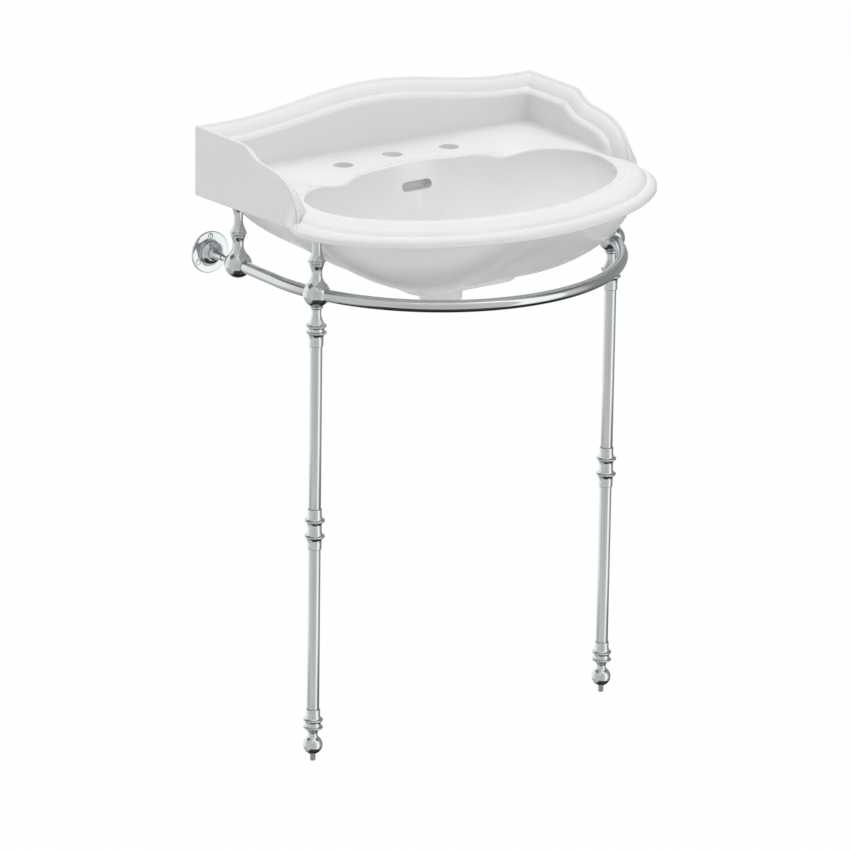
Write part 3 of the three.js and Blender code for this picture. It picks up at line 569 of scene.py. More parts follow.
# %% Turn the ball feet
foot_ball_height, foot_ball_radius, foot_neck = 25.5, 15.2, 42.8
stud_hole, stud_hole_low, stud_hole_top, foot_ring_radius = 4.7, 11.4, 41.0, 15.5
foot_shoulder = shoulder_of(foot_ball_radius, foot_ball_height)
low, high = foot_rings
foot_profile = (
    [(0, stud_hole_top), (stud_hole, stud_hole_top), (stud_hole, stud_hole_low),
     (stud_hole + 0.5, stud_hole_low - 0.5)]
    + arc(0, foot_ball_height, foot_ball_radius, -68, shoulder_turn, 26)[:-1]
    + hollowed(foot_shoulder, (7.3, over(foot_shoulder[1], 0.4, foot_neck)), (7.1, foot_neck), 8)
    + hollowed((7.1, foot_neck + 0.8), (7.2, low - 5.4), (band_radius, low - 2.4), 10)
    + ring(low, foot_ring_radius)
    + [(band_radius, low + 2.4), (band_radius - 0.6, low + 4.0), (band_radius - 0.6, high - 4.0),
       (band_radius, high - 2.4)]
    + ring(high, foot_ring_radius)
    + sleeve(high, 17.6, 9.3, 4.9, 2.4, low - high)
)
for side, (x, distance) in legs.items():
    piece = as_piece("turned_foot_" + side, stood_at(spun(foot_profile), x, distance), "foot_" + side)
    print(piece.name, len(piece.data.polygons), "faces")

# %% [markdown]
# ## The levelling studs
#
# A stud under each foot is screwed in or out to set the height, so it needs a real thread. A spin
# that also climbs turns one tooth of the thread into a helix, and because each turn starts where
# the last one ended, merging doubles closes the surface. Two flat cuts then trim the ends.

# %% Roll the levelling studs
thread_radius, thread_depth_share = 4.4, 0.61


def threaded_rod(radius, low, high, pitch=1.25, sides=24):
    mesh = bmesh.new()
    root = radius - thread_depth_share * pitch
    first = low - 2 * pitch
    tooth = [(root, 0), (root, 0.12), (radius, 0.44), (radius, 0.56), (root, 0.88), (root, 1.0)]
    points = [mesh.verts.new((out * MM, 0, (first + up * pitch) * MM)) for out, up in tooth]
    line = [mesh.edges.new(pair) for pair in zip(points, points[1:])]
    turns = math.ceil((high - first) / pitch) + 2
    bmesh.ops.spin(
        mesh, geom=points + line, axis=(0, 0, 1), cent=(0, 0, 0), dvec=(0, 0, pitch * MM / sides),
        angle=math.tau * turns, steps=sides * turns)
    bmesh.ops.remove_doubles(mesh, verts=mesh.verts[:], dist=1e-6)
    for height, facing in ((low, (0, 0, -1)), (high, (0, 0, 1))):
        bmesh.ops.bisect_plane(
            mesh, geom=mesh.verts[:] + mesh.edges[:] + mesh.faces[:], dist=1e-7,
            plane_co=(0, 0, height * MM), plane_no=facing, clear_outer=True)
        rim = [edge for edge in mesh.edges
               if edge.is_boundary and all(abs(v.co.z - height * MM) < 1e-6 for v in edge.verts)]
        bmesh.ops.edgeloop_fill(mesh, edges=rim)
    bmesh.ops.recalc_face_normals(mesh, faces=mesh.faces[:])
    return mesh


for side, (x, distance) in legs.items():
    node = "levelling_stud_" + side
    low, high = heights(node)
    rod = threaded_rod(thread_radius, low, high)
    piece = as_piece("threaded_stud_" + side, stood_at(rod, x, distance), node)
    print(piece.name, len(piece.data.polygons), "faces")

# %% [markdown]
# ## The rails
#
# The towel rail is one tube bent round the bowl: straight from each rear ball, then round half a
# circle whose middle lies on the object's centre line. A ring of points is set across the tube,
# extruded for the straight part, and spun about the middle of the bend for the rest.

# %% Bend the rails
bend_radius = 291.5
front_x, front_distance = uprights["front_right"]
rear_distance = uprights["rear_right"][1]
bend_middle = front_distance - math.sqrt(bend_radius ** 2 - front_x ** 2)
leg_turn = math.acos(front_x / bend_radius)
socket_stop = ball_radius - 11.0 + fit


def tube_end(distance, sides=40):
    """A ring of points across the right-hand rail where it runs straight out from the wall."""
    mesh = bmesh.new()
    made = bmesh.ops.create_circle(mesh, segments=sides, radius=tube_radius * MM, cap_ends=False)
    bmesh.ops.rotate(mesh, verts=made["verts"], cent=(0, 0, 0), matrix=Matrix.Rotation(math.pi / 2, 3, "X"))
    bmesh.ops.translate(
        mesh, verts=made["verts"],
        vec=(bend_radius * MM, (wall - distance) * MM, rail_height * MM))
    return mesh, mesh.edges[:]


def bend(mesh, edges, angle, steps):
    """Spins a ring of edges towards the front about the middle of the bend."""
    made = bmesh.ops.spin(
        mesh, geom=edges + list({vert for edge in edges for vert in edge.verts}),
        axis=(0, 0, -1), cent=(0, (wall - bend_middle) * MM, 0), angle=angle, steps=steps)
    return [item for item in made["geom_last"] if isinstance(item, bmesh.types.BMEdge)]


def cap_ends(mesh):
    bmesh.ops.holes_fill(mesh, edges=[edge for edge in mesh.edges if edge.is_boundary], sides=0)
    bmesh.ops.recalc_face_normals(mesh, faces=mesh.faces[:])


for side in legs:
    mesh, edges = tube_end(rear_distance + socket_stop)
    made = bmesh.ops.extrude_edge_only(mesh, edges=edges)
    moved = [item for item in made["geom"] if isinstance(item, bmesh.types.BMVert)]
    last = [item for item in made["geom"] if isinstance(item, bmesh.types.BMEdge)
            and all(vert in moved for vert in item.verts)]
    bmesh.ops.translate(
        mesh, verts=moved, vec=(0, -(bend_middle - rear_distance - socket_stop) * MM, 0))
    bend(mesh, last, leg_turn - socket_stop / bend_radius, 8)
    cap_ends(mesh)
    if side == "left":
        bmesh.ops.scale(mesh, verts=mesh.verts[:], vec=(-1, 1, 1))
        bmesh.ops.recalc_face_normals(mesh, faces=mesh.faces[:])
    piece = as_piece("bent_rail_" + side, mesh, "rail_" + side)
    print(piece.name, len(piece.data.polygons), "faces")

mesh, edges = tube_end(bend_middle)
start = leg_turn + socket_stop / bend_radius
bmesh.ops.rotate(
    mesh, verts=mesh.verts[:], cent=(0, (wall - bend_middle) * MM, 0),
    matrix=Matrix.Rotation(-start, 3, "Z"))
bend(mesh, edges, math.pi - 2 * start, 96)
cap_ends(mesh)
piece = as_piece("bent_rail_front", mesh, "rail_front")
print(piece.name, len(piece.data.polygons), "faces")

# %% [markdown]
# ## The fixings at the wall
#
# Each rear ball is held by an arm that runs into a domed wall flange, where a conical nut grips it.
# All of it is turned, so the same half profiles are spun upright and then laid down to point out
# from the wall. The three screws of a flange are countersunk, and each was left at its own angle.

# %% Turn the flanges, nuts and arms
def out_from_wall(mesh, x, height):
    """Lays an upright piece down, so that it points out from the wall at a place on it."""
    bmesh.ops.rotate(mesh, verts=mesh.verts[:], cent=(0, 0, 0), matrix=Matrix.Rotation(math.pi / 2, 3, "X"))
    bmesh.ops.translate(mesh, verts=mesh.verts[:], vec=(x * MM, wall * MM, height * MM))
    return mesh


arm_radius, arm_bore, flange_radius, flange_thickness = 4.2, 4.5, 33.0, 3.6
nut_low, nut_collar, nut_tip = 14.3, 17.7, 38.3
screw_head, screw_shank, screw_depth, screw_fit = 4.7, 2.3, 2.4, 0.3
blade_size, screw_turn, left_turn = (12.0, 1.2, 2.0), 0.9, 0.5
flange_profile = (
    [(0, 0), (flange_radius - 0.4, 0), (flange_radius, 0.4)]
    + arc(flange_radius - 1.3, flange_thickness - 1.3, 1.3, 0, 90, 6)
    + [(20.6, flange_thickness), (19.6, flange_thickness - 0.5), (18.8, flange_thickness + 0.1)]
    + hollowed((18.7, flange_thickness + 0.6), (18.8, 10.5), (12.6, 13.4), 12)
    + [(11.4, 14.0), (5.4, 14.0), (arm_bore, 13.2), (arm_bore, flange_thickness), (0, flange_thickness)]
)
nut_profile = (
    [(arm_bore, nut_low), (10.2, nut_low)]
    + arc(9.9, over(nut_low, 0.5, nut_collar), 0.9, -60, 60, 8)
    + [(10.2, nut_collar), (9.5, nut_collar + 0.3)]
    + hollowed((9.3, nut_collar + 0.8), (6.6, 24.0), (5.3, nut_tip - 0.6), 12)
    + [(5.1, nut_tip), (arm_bore, nut_tip)]
)
countersink = [(0, -1), (screw_shank + screw_fit, -1), (screw_shank + screw_fit, flange_thickness - screw_depth),
               (screw_head + screw_fit, flange_thickness), (screw_head + screw_fit, 6), (0, 6)]
screw_profile = [(0, 0), (screw_shank, 0), (screw_shank, flange_thickness - screw_depth),
                 (screw_head, flange_thickness - 0.15), (screw_head - 0.3, flange_thickness), (0, flange_thickness)]


def slotted_screw(angle):
    """A countersunk screw with a slot across its head at an angle."""
    blade = bmesh.new()
    bmesh.ops.create_cube(blade, size=1.0)
    bmesh.ops.scale(blade, verts=blade.verts[:], vec=[size * MM for size in blade_size])
    bmesh.ops.translate(blade, verts=blade.verts[:], vec=(0, 0, flange_thickness * MM))
    bmesh.ops.rotate(blade, verts=blade.verts[:], cent=(0, 0, 0), matrix=Matrix.Rotation(angle, 3, "Z"))
    return worked(spun(screw_profile, 32, edge_width=0), blade, "DIFFERENCE")


for side, x in (("left", uprights["rear_left"][0]), ("right", uprights["rear_right"][0])):
    flange = out_from_wall(spun(flange_profile, 72), x, rail_height)
    for number in (1, 2, 3):
        node = "flange_screw_" + side + "_" + str(number)
        low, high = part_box(node)
        place = ((low.x + high.x) / 2 / MM, (low.z + high.z) / 2 / MM)
        flange = worked(flange, out_from_wall(spun(countersink, 32, edge_width=0), *place), "DIFFERENCE")
        screw = slotted_screw(screw_turn * number + (left_turn if side == "left" else 0))
        as_piece("slotted_screw_" + side + "_" + str(number), out_from_wall(screw, *place), node)
    as_piece("domed_flange_" + side, flange, "wall_flange_" + side)
    as_piece("conical_nut_" + side, out_from_wall(spun(nut_profile, closed=True), x, rail_height), "arm_nut_" + side)
    low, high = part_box("wall_arm_" + side)
    near, far = wall - high.y / MM, wall - low.y / MM
    arm = spun([(0, near), (arm_radius - 0.3, near), (arm_radius, near + 0.3), (arm_radius, far), (0, far)], 40)
    as_piece("drawn_arm_" + side, out_from_wall(arm, x, rail_height), "wall_arm_" + side)
print("two flanges, two nuts, two arms and six screws")

# %% [markdown]
# ## The basin
#
# A basin like this is slip cast: liquid clay fills a plaster mould, a wall sets against the
# plaster, and the rest is poured out, so every corner inside and out is rounded. Carving it from
# a block would leave those roundings for later. Here it is drawn as the mould maker would draw it,
# as one section that changes on its way round. The half outline runs from the middle of the back,
# round the corner and along the side panel, and round the rim to the front. At each station the
# section gives one point for every ring. The first ring is extruded into the next, over and over,
# and each new corner is set in its place, so no ring can twist against its neighbour.

# %% Sizes of the basin
half_width, basin_depth = 317.5, 494.0
deck_height, upstand_height = 882.7, 74.7
crest_rise, crest_half_span = 27.6, 270.0
panel_depth, panel_taper, panel_drop, panel_bottom_rise = 275.5, 3.5, 36.1, 7.0
rim_half_width, rim_back, rim_fullness, rim_depth = 324.4, 285.0, 1.87, 32.4
edge_half_width, edge_front, edge_widest, edge_back = 270.0, 436.0, 253.0, 120.0
edge_fullness, edge_front_drop = 1.92, 4.2
drain_x, drain_distance, drain_dip, drain_half_width, drain_outer_width = 150.0, 157.0, 9.0, 22.0, 36.0
moulding_width, moulding_fall, foot_fillet, corner_fillet = 30.7, 29.0, 5.0, 9.0
bead_width, bead_rise, bead_front_width, bead_front_rise = 15.0, 1.35, 5.0, 0.7
bead_step, rim_lip = 9.0, 0.70
bowl_depth, waste_distance, waste_radius = 135.0, 206.0, 23.0
corner_height = deck_height + upstand_height
waste_point = Vector((0.0, waste_distance))
print("the bowl is", bowl_depth, "mm deep and", 2 * edge_half_width, "mm wide")


# %% Lines that can be read at any share of their length
class Flow:
    """A smooth line in a plane through a start, two pull points and an end."""

    def __init__(self, *corners):
        corners = [Vector((x, y, 0)) for x, y in corners]
        self.points = [point.to_2d() for point in interpolate_bezier(*corners, 300)]
        self.lengths = [0.0]
        for first, second in zip(self.points, self.points[1:]):
            self.lengths.append(self.lengths[-1] + (second - first).length)

    def at(self, share):
        length = share * self.lengths[-1]
        step = min(max(bisect_left(self.lengths, length), 1), len(self.points) - 1)
        span = self.lengths[step] - self.lengths[step - 1]
        return self.points[step - 1].lerp(self.points[step], (length - self.lengths[step - 1]) / span)

    def heading(self, share):
        return (self.at(min(share + 0.01, 1.0)) - self.at(max(share - 0.01, 0.0))).normalized()


def eased(value, start, end):
    share = min(max((value - start) / (end - start), 0.0), 1.0)
    return share * share * (3 - 2 * share)


def flowing(points, fineness):
    """A smooth line through all the given points, as many times finer as asked."""
    smooth = []
    for index in range(len(points) - 1):
        before, start, end, after = (
            Vector(points[min(max(at, 0), len(points) - 1)]) for at in range(index - 1, index + 3))
        for step in range(fineness):
            t = step / fineness
            smooth.append(0.5 * (
                2 * start + (end - before) * t + (2 * before - 5 * start + 4 * end - after) * t * t
                + (3 * start - before - 3 * end + after) * t ** 3))
    return smooth + [Vector(points[-1])]


# %% Outlines seen from above
def behind(across, down):
    return (edge_half_width * across, over(edge_back, down, edge_widest))


arch_share = 0.36
drain_point = (drain_x, drain_distance)
centre_arch = Flow((0, edge_back), behind(0.2, 0), behind(0.41, 0.2), drain_point)
side_lobe = Flow(drain_point, behind(0.72, 0.3), behind(1, 0.5), (edge_half_width, edge_widest))


def bowl_edge_behind(share):
    """The bowl's edge behind its widest line: an arch in the middle, then a lobe from the drain."""
    if share < arch_share:
        return centre_arch.at(share / arch_share)
    return side_lobe.at((share - arch_share) / (1 - arch_share))


def full_curve(turn, half_across, half_down, back, fullness):
    """A quarter of an oval whose corners are a little fuller or leaner than an ellipse's."""
    return Vector((
        half_across * max(math.cos(turn), 0.0) ** (2 / fullness),
        back + half_down * math.sin(turn) ** (2 / fullness)))


def crest_height(x):
    reach = min(abs(x) / crest_half_span, 1.0)
    return corner_height + crest_rise * (1 + math.cos(math.pi * reach)) / 2


def beside(along, up):
    return (panel_depth * along, deck_height + upstand_height * up)


panel_flat = Flow((0, corner_height), beside(0.15, 1), beside(0.31, 1), beside(0.465, 1))
panel_shoulder = Flow(beside(0.465, 1), beside(0.515, 0.99), beside(0.545, 0.8), beside(0.62, 0.76))
panel_sweep = Flow(beside(0.62, 0.76), beside(0.78, 0.69), beside(0.975, 0.68), beside(1, -0.2))

# %% Stations of the half outline
def closer_to_one(share):
    """Shares that lie twice as close together at the end, where the upright corner is rounded."""
    return share * (3 - share) / 2


back_steps, landing_steps, rim_steps, heading_reach = 52, 6, 76, 7
edge_parts, edge_parts_behind = 17, 8
panel_parts = ((panel_flat, 22, 0, 1), (panel_shoulder, 22, 1, 4), (panel_sweep, 40, 4, 9))
stations = []
for step in range(back_steps + 1):
    share = closer_to_one(step / back_steps)
    stations.append(SimpleNamespace(
        part="back", outer=Vector((half_width * share, 0.0)), inward=Vector((-share, 1.0)),
        edge=bowl_edge_behind(share * edge_parts_behind / edge_parts)))
for line, steps, first, last in panel_parts:
    for step in range(1, steps + 1):
        share = 1 - closer_to_one(1 - step / steps) if line is panel_flat else step / steps
        point = line.at(share)
        heading = line.heading(share)
        edge_part = edge_parts_behind + over(first, share, last)
        stations.append(SimpleNamespace(
            part="panel", outer=Vector((half_width - panel_taper * point.x / panel_depth, point.x)),
            inward=Vector((-1.0, 1.0 - share if line is panel_flat else 0.0)), top=point.y,
            heading=heading, edge=bowl_edge_behind(edge_part / edge_parts)))
panel_stations = [station for station in stations if station.part == "panel"]
for index, station in enumerate(panel_stations):
    near = panel_stations[max(index - heading_reach, 0):index + heading_reach + 1]
    heading = sum((other.heading for other in near), Vector((0.0, 0.0))).normalized()
    if station.top > corner_height - 0.01:
        heading = Vector((1.0, 0.0))
    station.fall = Vector((heading.y, -heading.x))
for step in range(rim_steps + 1):
    turn = math.pi / 2 * step / rim_steps
    stations.append(SimpleNamespace(
        part="rim",
        outer=full_curve(turn, rim_half_width, basin_depth - rim_back, rim_back, rim_fullness),
        edge=full_curve(turn, edge_half_width, edge_front - edge_widest, edge_widest, edge_fullness)))
print(len(stations), "stations from the back to the front")

# %% [markdown]
# ## The section of the upstand beside the section of the rim
#
# The upstand carries a moulding: a thin flat fillet outside, a full round, a quirk and a bead.
# The front rim carries a roll, a groove and a broad dome. Both are written as shares of their own
# width and height with the same number of points, so that ring for ring the one can flow into the
# other where the side panels land on the rim.

# %% Both sections, point for point
upstand_section = flowing([
    (0.0, 0.10), (0.012, 0.03), (0.05, 0.0), (0.10, 0.0), (0.145, 0.02), (0.19, 0.085), (0.23, 0.135),
    (0.29, 0.16), (0.40, 0.225), (0.52, 0.33), (0.62, 0.47), (0.69, 0.62), (0.72, 0.685),
    (0.77, 0.70), (0.86, 0.74), (0.94, 0.82), (0.985, 0.91), (1.0, 0.99)], 2)
rim_section = flowing([
    (0.0, 0.74), (0.006, 0.69), (0.02, 0.627), (0.042, 0.575), (0.07, 0.534), (0.11, 0.503), (0.15, 0.488),
    (0.19, 0.487), (0.225, 0.497), (0.24, 0.503), (0.25, 0.485), (0.265, 0.444), (0.30, 0.36),
    (0.345, 0.28), (0.45, 0.198), (0.55, 0.158), (0.62, 0.13), (0.66, 0.115)], 2)
print(len(upstand_section), "points in each section")

# %% Points of the rim and of the upstand
groove_end, groove_depth, groove_fade, groove_full_at = 0.30, 0.74, 0.7, 420.0
dome_depth, dome_swell, dome_roundness = 0.36, 0.38, 1.5


def bottom_height(station):
    if station.part == "rim":
        return deck_height - rim_depth
    return deck_height - panel_drop + panel_bottom_rise * station.outer.y / panel_depth


def on_rim(station, inward, below):
    """A point of the rim. The groove above the roll fades towards the back."""
    place = station.outer.lerp(station.edge, inward)
    if inward < groove_end and below < groove_depth:
        plain = dome_depth + dome_swell * (1 - inward / groove_end) ** dome_roundness
        below = over(below, groove_fade * (1 - eased(station.outer.y, rim_back, groove_full_at)), plain)
    return Vector((place.x, place.y, deck_height - rim_depth * below))


def on_upstand(station, inset, fall, below):
    """A point of the upstand, a way in from its outer face and down from its top edge.

    Where a side panel lands, its lines stop at the depth that the same ring has on the rim.
    """
    lowest = deck_height - rim_depth * below
    radius = corner_fillet * eased(inset, 0.5 * moulding_width, moulding_width)
    if station.part == "back":
        x, distance = station.outer.x + station.inward.x * inset, inset
        height = crest_height(x) - fall
        turn = 45 - 45 * (half_width - inset - x) / max(radius, MM)
    else:
        x = station.outer.x - inset
        distance = station.outer.y + station.inward.y * inset + station.fall.x * fall
        height = max(station.top + station.fall.y * fall, lowest)
        turn = 45 + 45 * (distance - inset) / max(radius, MM)
    if 0 < turn < 90:
        side = half_width - inset if station.part == "back" else x
        x = side - radius * (1 - math.sin(math.radians(turn)))
        distance = inset + radius * (1 - math.cos(math.radians(turn)))
    return Vector((x, distance, height))


# %% Heights of the bowl's edge
bead_section = (
    (1.0, 0.0), (0.9, 0.04), (0.78, 0.16), (0.64, 0.42), (0.5, 0.74), (0.38, 0.95), (0.27, 1.0), (0.17, 0.8),
    (0.09, 0.2), (0.03, -0.7), (0.0, -1.8))
edge_drop_start, edge_drop_end, middle_edge = 170.0, 320.0, 60.0
bead_narrow_start, bead_narrow_end, bead_room_share = 320.0, 400.0, 0.85


def away_from_waste(station):
    return (station.edge - waste_point).normalized()


def edge_height(station):
    """The edge dips at the soap drains, softly towards the sides, and runs a little lower in front."""
    beyond = abs(station.edge.x) - drain_x
    reach = beyond / (drain_half_width if beyond < 0 else drain_outer_width)
    dip = drain_dip * math.exp(-reach * reach) if station.part != "rim" else 0.0
    return deck_height - dip - edge_front_drop * eased(station.edge.y, edge_drop_start, edge_drop_end)


def bead_start(station):
    """Where the bead turns down into the bowl, a little in front of the edge in the middle."""
    step = bead_step * (1 - eased(abs(station.edge.x), middle_edge, drain_x)) if station.part != "rim" else 0.0
    return station.edge - away_from_waste(station) * step


def bead_point(station, outward, rise):
    """A point of the bead, which is broad behind and beside the bowl and narrow in front."""
    forward = eased(station.edge.y, bead_narrow_start, bead_narrow_end)
    room = foot_ring(90)(station).to_2d() - bead_start(station)
    width = min(over(bead_width, forward, bead_front_width), bead_room_share * room.length)
    place = bead_start(station) + away_from_waste(station) * width * outward
    return Vector((place.x, place.y, edge_height(station) + over(bead_rise, forward, bead_front_rise) * rise))


# %% Points of the bowl
swell_half_width, floor_edge = 76.0, 11.0
swell_fullness, back_fullness, side_fullness = 0.87, 1.4, 1.75


def bowl_fullness(station):
    """How upright the bowl's wall starts. A swell round the overflow leans back in the middle."""
    forward = away_from_waste(station).y
    wall_fullness = over(back_fullness, eased(forward, -1, 0), side_fullness)
    if station.part == "rim":
        return wall_fullness
    return over(swell_fullness, eased(station.edge.x, 0, swell_half_width), wall_fullness)


def closing(depth, fullness):
    return 1 - (1 - depth ** fullness) ** (1 / fullness)


def bowl_point(station, depth):
    end = waste_point + away_from_waste(station) * (waste_radius + floor_edge)
    start = bead_point(station, *bead_section[-1])
    place = start.to_2d().lerp(end, closing(depth, bowl_fullness(station)))
    return Vector((place.x, place.y, over(start.z, depth, deck_height - bowl_depth)))


def round_waste(station, radius, height):
    place = waste_point + away_from_waste(station) * radius
    return Vector((place.x, place.y, height))


# %% [markdown]
# ## The belly
#
# Below, the bowl shows as a belly that starts inside a flat ledge, where the stand's spindles
# meet the china, and runs in to a flat oval. The boss round the waste and the foot pad stand on
# the oval. The belly's curve is written like the bowl's.

# %% Points of the underside
belly_depth, boss_radius, boss_drop, boss_fillet = 151.4, 34.0, 202.0, 6.0
flat_centre, flat_half_width, flat_front, flat_back = Vector((0.0, 290.0)), 69.3, 17.8, 123.0
side_ledge, front_ledge, ledge_turn_start, ledge_turn_end, ledge_back = 38.5, 52.0, 180.0, 262.0, 45.0
ledge_stop_start, ledge_stop_reach = 225.0, 27.0
rim_ledge_share, front_ledge_share = 1.08, 0.208
belly_back_fullness, belly_side_fullness, belly_front_fullness = 1.073, 1.809, 0.966


def belly_start(station):
    """Where the belly leaves the flat ledge. It stays behind the landing of the side panels."""
    if station.part == "rim":
        forward = eased(station.edge.y, edge_widest, edge_front)
        return station.outer.lerp(station.edge, over(rim_ledge_share, forward, front_ledge_share))
    ledge = over(side_ledge, eased(station.outer.y, ledge_turn_start, ledge_turn_end), front_ledge)
    beyond = max(station.outer.y - ledge_stop_start, 0.0)
    distance = min(station.outer.y, ledge_stop_start) + ledge_stop_reach * (
        1 - math.exp(-beyond / ledge_stop_reach))
    return Vector((station.outer.x * (1 - ledge / half_width), max(distance, ledge_back)))


def belly_point(station, depth):
    away = (station.edge - flat_centre).normalized()
    end_fullness, reach = (
        (belly_back_fullness, flat_back) if away.y < 0 else (belly_front_fullness, flat_front))
    end = flat_centre + Vector((away.x * flat_half_width, away.y * reach))
    fullness = over(belly_side_fullness, away.y ** 2, end_fullness)
    place = belly_start(station).lerp(end, closing(depth, fullness))
    return Vector((place.x, place.y, over(bottom_height(station), depth, deck_height - belly_depth)))


# %% Rings of the outer face
foot_round, roll_foot, roll_start = 2.4, 0.90, 0.745
moulding_edge, moulding_foot = 0.11, 0.99
swell_start, swell_top_height, swell_full_depth = 240.0, 14.0, 15.0


def flared(station, place):
    """Lets the panel's outer face swell towards the front, below the deck, to meet the rim's roll."""
    if station.part == "panel":
        swell = (eased(station.outer.y, swell_start, rim_back)
                 * eased(deck_height - place.z, -swell_top_height, swell_full_depth))
        place.x += (rim_half_width - station.outer.x) * swell
    return place


def outer_foot(inset, rise, inward, below):
    def ring_at(station):
        if station.part == "rim":
            return on_rim(station, inward, below)
        place = station.outer + station.inward * inset if station.part == "back" else (
            station.outer + Vector((-inset, station.inward.y * inset)))
        return flared(station, Vector((place.x, place.y, bottom_height(station) + rise)))
    return ring_at


def outer_face(share):
    def ring_at(station):
        if station.part == "rim":
            return on_rim(station, 0.0, over(roll_foot, share, roll_start))
        top = on_upstand(station, 0.0, moulding_fall * moulding_edge, roll_start)
        low = bottom_height(station) + foot_round
        return flared(station, Vector((station.outer.x, station.outer.y, over(low, share, top.z))))
    return ring_at


def moulding_ring(index):
    inset, fall = upstand_section[index]
    inward, below = rim_section[index]

    def ring_at(station):
        if station.part == "rim":
            return on_rim(station, inward, below)
        return on_upstand(station, inset * moulding_width, fall * moulding_fall, below)
    return ring_at


# %% Rings of the inner face and of the deck
face_start, face_end, face_start_depth, deck_depth = 0.66, 0.68, 0.115, 0.105
deck_sink, deck_sink_start, deck_sink_end, deck_hollow = 0.104, 190.0, 246.0, 2.4


def deck_level(distance):
    """The deck sinks a little towards the rim, beside the bowl."""
    return deck_height - rim_depth * deck_sink * eased(distance, deck_sink_start, deck_sink_end)


def inner_face(share):
    def ring_at(station):
        if station.part == "rim":
            return on_rim(station, over(face_start, share, face_end), over(face_start_depth, share, deck_depth))
        top = on_upstand(station, moulding_width, moulding_fall * moulding_foot, deck_depth)
        low = min(deck_level(top.y) + foot_fillet, top.z)
        return Vector((top.x, top.y, over(top.z, share, low)))
    return ring_at


def foot_ring(turn):
    out, rise = 1 - math.cos(math.radians(turn)), 1 - math.sin(math.radians(turn))

    def ring_at(station):
        if station.part == "rim":
            return on_rim(station, over(face_end, turn / 90, rim_lip), deck_sink)
        fall = moulding_fall * moulding_foot
        top = on_upstand(station, moulding_width, fall, deck_depth)
        room = min(max(top.z - deck_level(top.y), 0.0), foot_fillet)
        place = on_upstand(station, moulding_width + room * out, fall, deck_depth)
        return Vector((place.x, place.y, deck_level(top.y) + room * rise))
    return ring_at


def deck_ring(share):
    """The deck keeps its level at first and comes to the height of the bead late."""

    def ring_at(station):
        start = foot_ring(90)(station)
        end = bead_point(station, *bead_section[0])
        place = start.lerp(end, share)
        place.z = over(start.z, share ** deck_hollow, end.z)
        return place
    return ring_at


# %% List the rings from the foot over the top, down the bowl and back under the belly
bowl_depths = (0.004, 0.014, 0.03, 0.05, 0.08, 0.115, 0.155, 0.2, 0.25, 0.305, 0.36, 0.42, 0.48, 0.54, 0.6,
               0.66, 0.72, 0.78, 0.83, 0.88, 0.92, 0.95, 0.975, 0.99, 1.0)
belly_depths = (1.0, 0.985, 0.95, 0.9, 0.84, 0.77, 0.7, 0.62, 0.54, 0.46, 0.38, 0.31, 0.24, 0.18, 0.12, 0.07,
                0.03, 0.01, 0.0)
floor_height = deck_height - bowl_depth
boss_height = deck_height - boss_drop
rings = (
    [outer_foot(*point) for point in (
        (foot_round, 0.0, 0.10, 1.0), (1.1, 0.35, 0.055, 0.99), (0.35, 1.1, 0.018, 0.955),
        (0.0, foot_round, 0.0, roll_foot))]
    + [outer_face(share) for share in (0.05, 0.2, 0.35, 0.5, 0.65, 0.8, 0.9, 0.99)]
    + [moulding_ring(index) for index in range(len(upstand_section))]
    + [inner_face(share) for share in (0.04, 0.3, 0.7, 0.97)]
    + [foot_ring(turn) for turn in (0, 15, 30, 45, 60, 75, 90)]
    + [deck_ring(share) for share in (0.02, 0.1, 0.2, 0.3, 0.4, 0.5, 0.6, 0.68, 0.76, 0.83, 0.89, 0.94, 0.975)]
    + [partial(bead_point, outward=out, rise=rise) for out, rise in bead_section]
    + [partial(bowl_point, depth=depth) for depth in bowl_depths]
    + [partial(round_waste, radius=radius, height=floor_height - drop) for radius, drop in (
        (33.4, 0.3), (32.7, 1.2), (32.1, 2.4), (31.3, 2.9), (29, 3.0), (24.6, 3.0), (23.6, 3.3), (23.1, 4.0),
        (23.0, 5.2))]
    + [partial(round_waste, radius=waste_radius, height=boss_height + 1.5)]
    + [partial(round_waste, radius=waste_radius + 1.2, height=boss_height)]
    + [partial(round_waste, radius=boss_radius - boss_fillet * (1 - math.sin(math.radians(turn))),
               height=boss_height + boss_fillet * (1 - math.cos(math.radians(turn))))
       for turn in (0, 22, 45, 67, 90)]
    + [partial(round_waste, radius=boss_radius + out, height=deck_height - belly_depth - drop) for out, drop in (
        (0, 4), (0.3, 2.5), (1.2, 1.2), (2.5, 0.3), (4, 0))]
    + [partial(belly_point, depth=depth) for depth in belly_depths]
)
print(len(rings), "rings")

# %% Draw the skin out ring by ring
rim_first = len(stations) - rim_steps - 1


def half_ring(ring_at):
    """The points of one ring along the half outline, with the landing of the panels on the rim."""
    points = [ring_at(station) for station in stations]
    landing = [
        points[rim_first - 1].lerp(points[rim_first], eased(step / (landing_steps + 1), 0, 1))
        for step in range(1, landing_steps + 1)]
    return points[:rim_first] + landing + points[rim_first:]


def in_place(x, distance, z):
    return Vector((x, wall - distance, z)) * MM


def drawn_on(mesh, corners, places):
    """Extrudes a closed ring of corners and sets each new corner in its place."""
    row = [edge for corner, beside in zip(corners, corners[1:] + corners[:1])
           for edge in corner.link_edges if edge.other_vert(corner) is beside]
    made = {item for item in bmesh.ops.extrude_edge_only(mesh, edges=row)["geom"]
            if isinstance(item, bmesh.types.BMVert)}
    following = []
    for corner, place in zip(corners, places):
        twin = next(edge.other_vert(corner) for edge in corner.link_edges if edge.other_vert(corner) in made)
        twin.co = in_place(*place)
        following.append(twin)
    return following


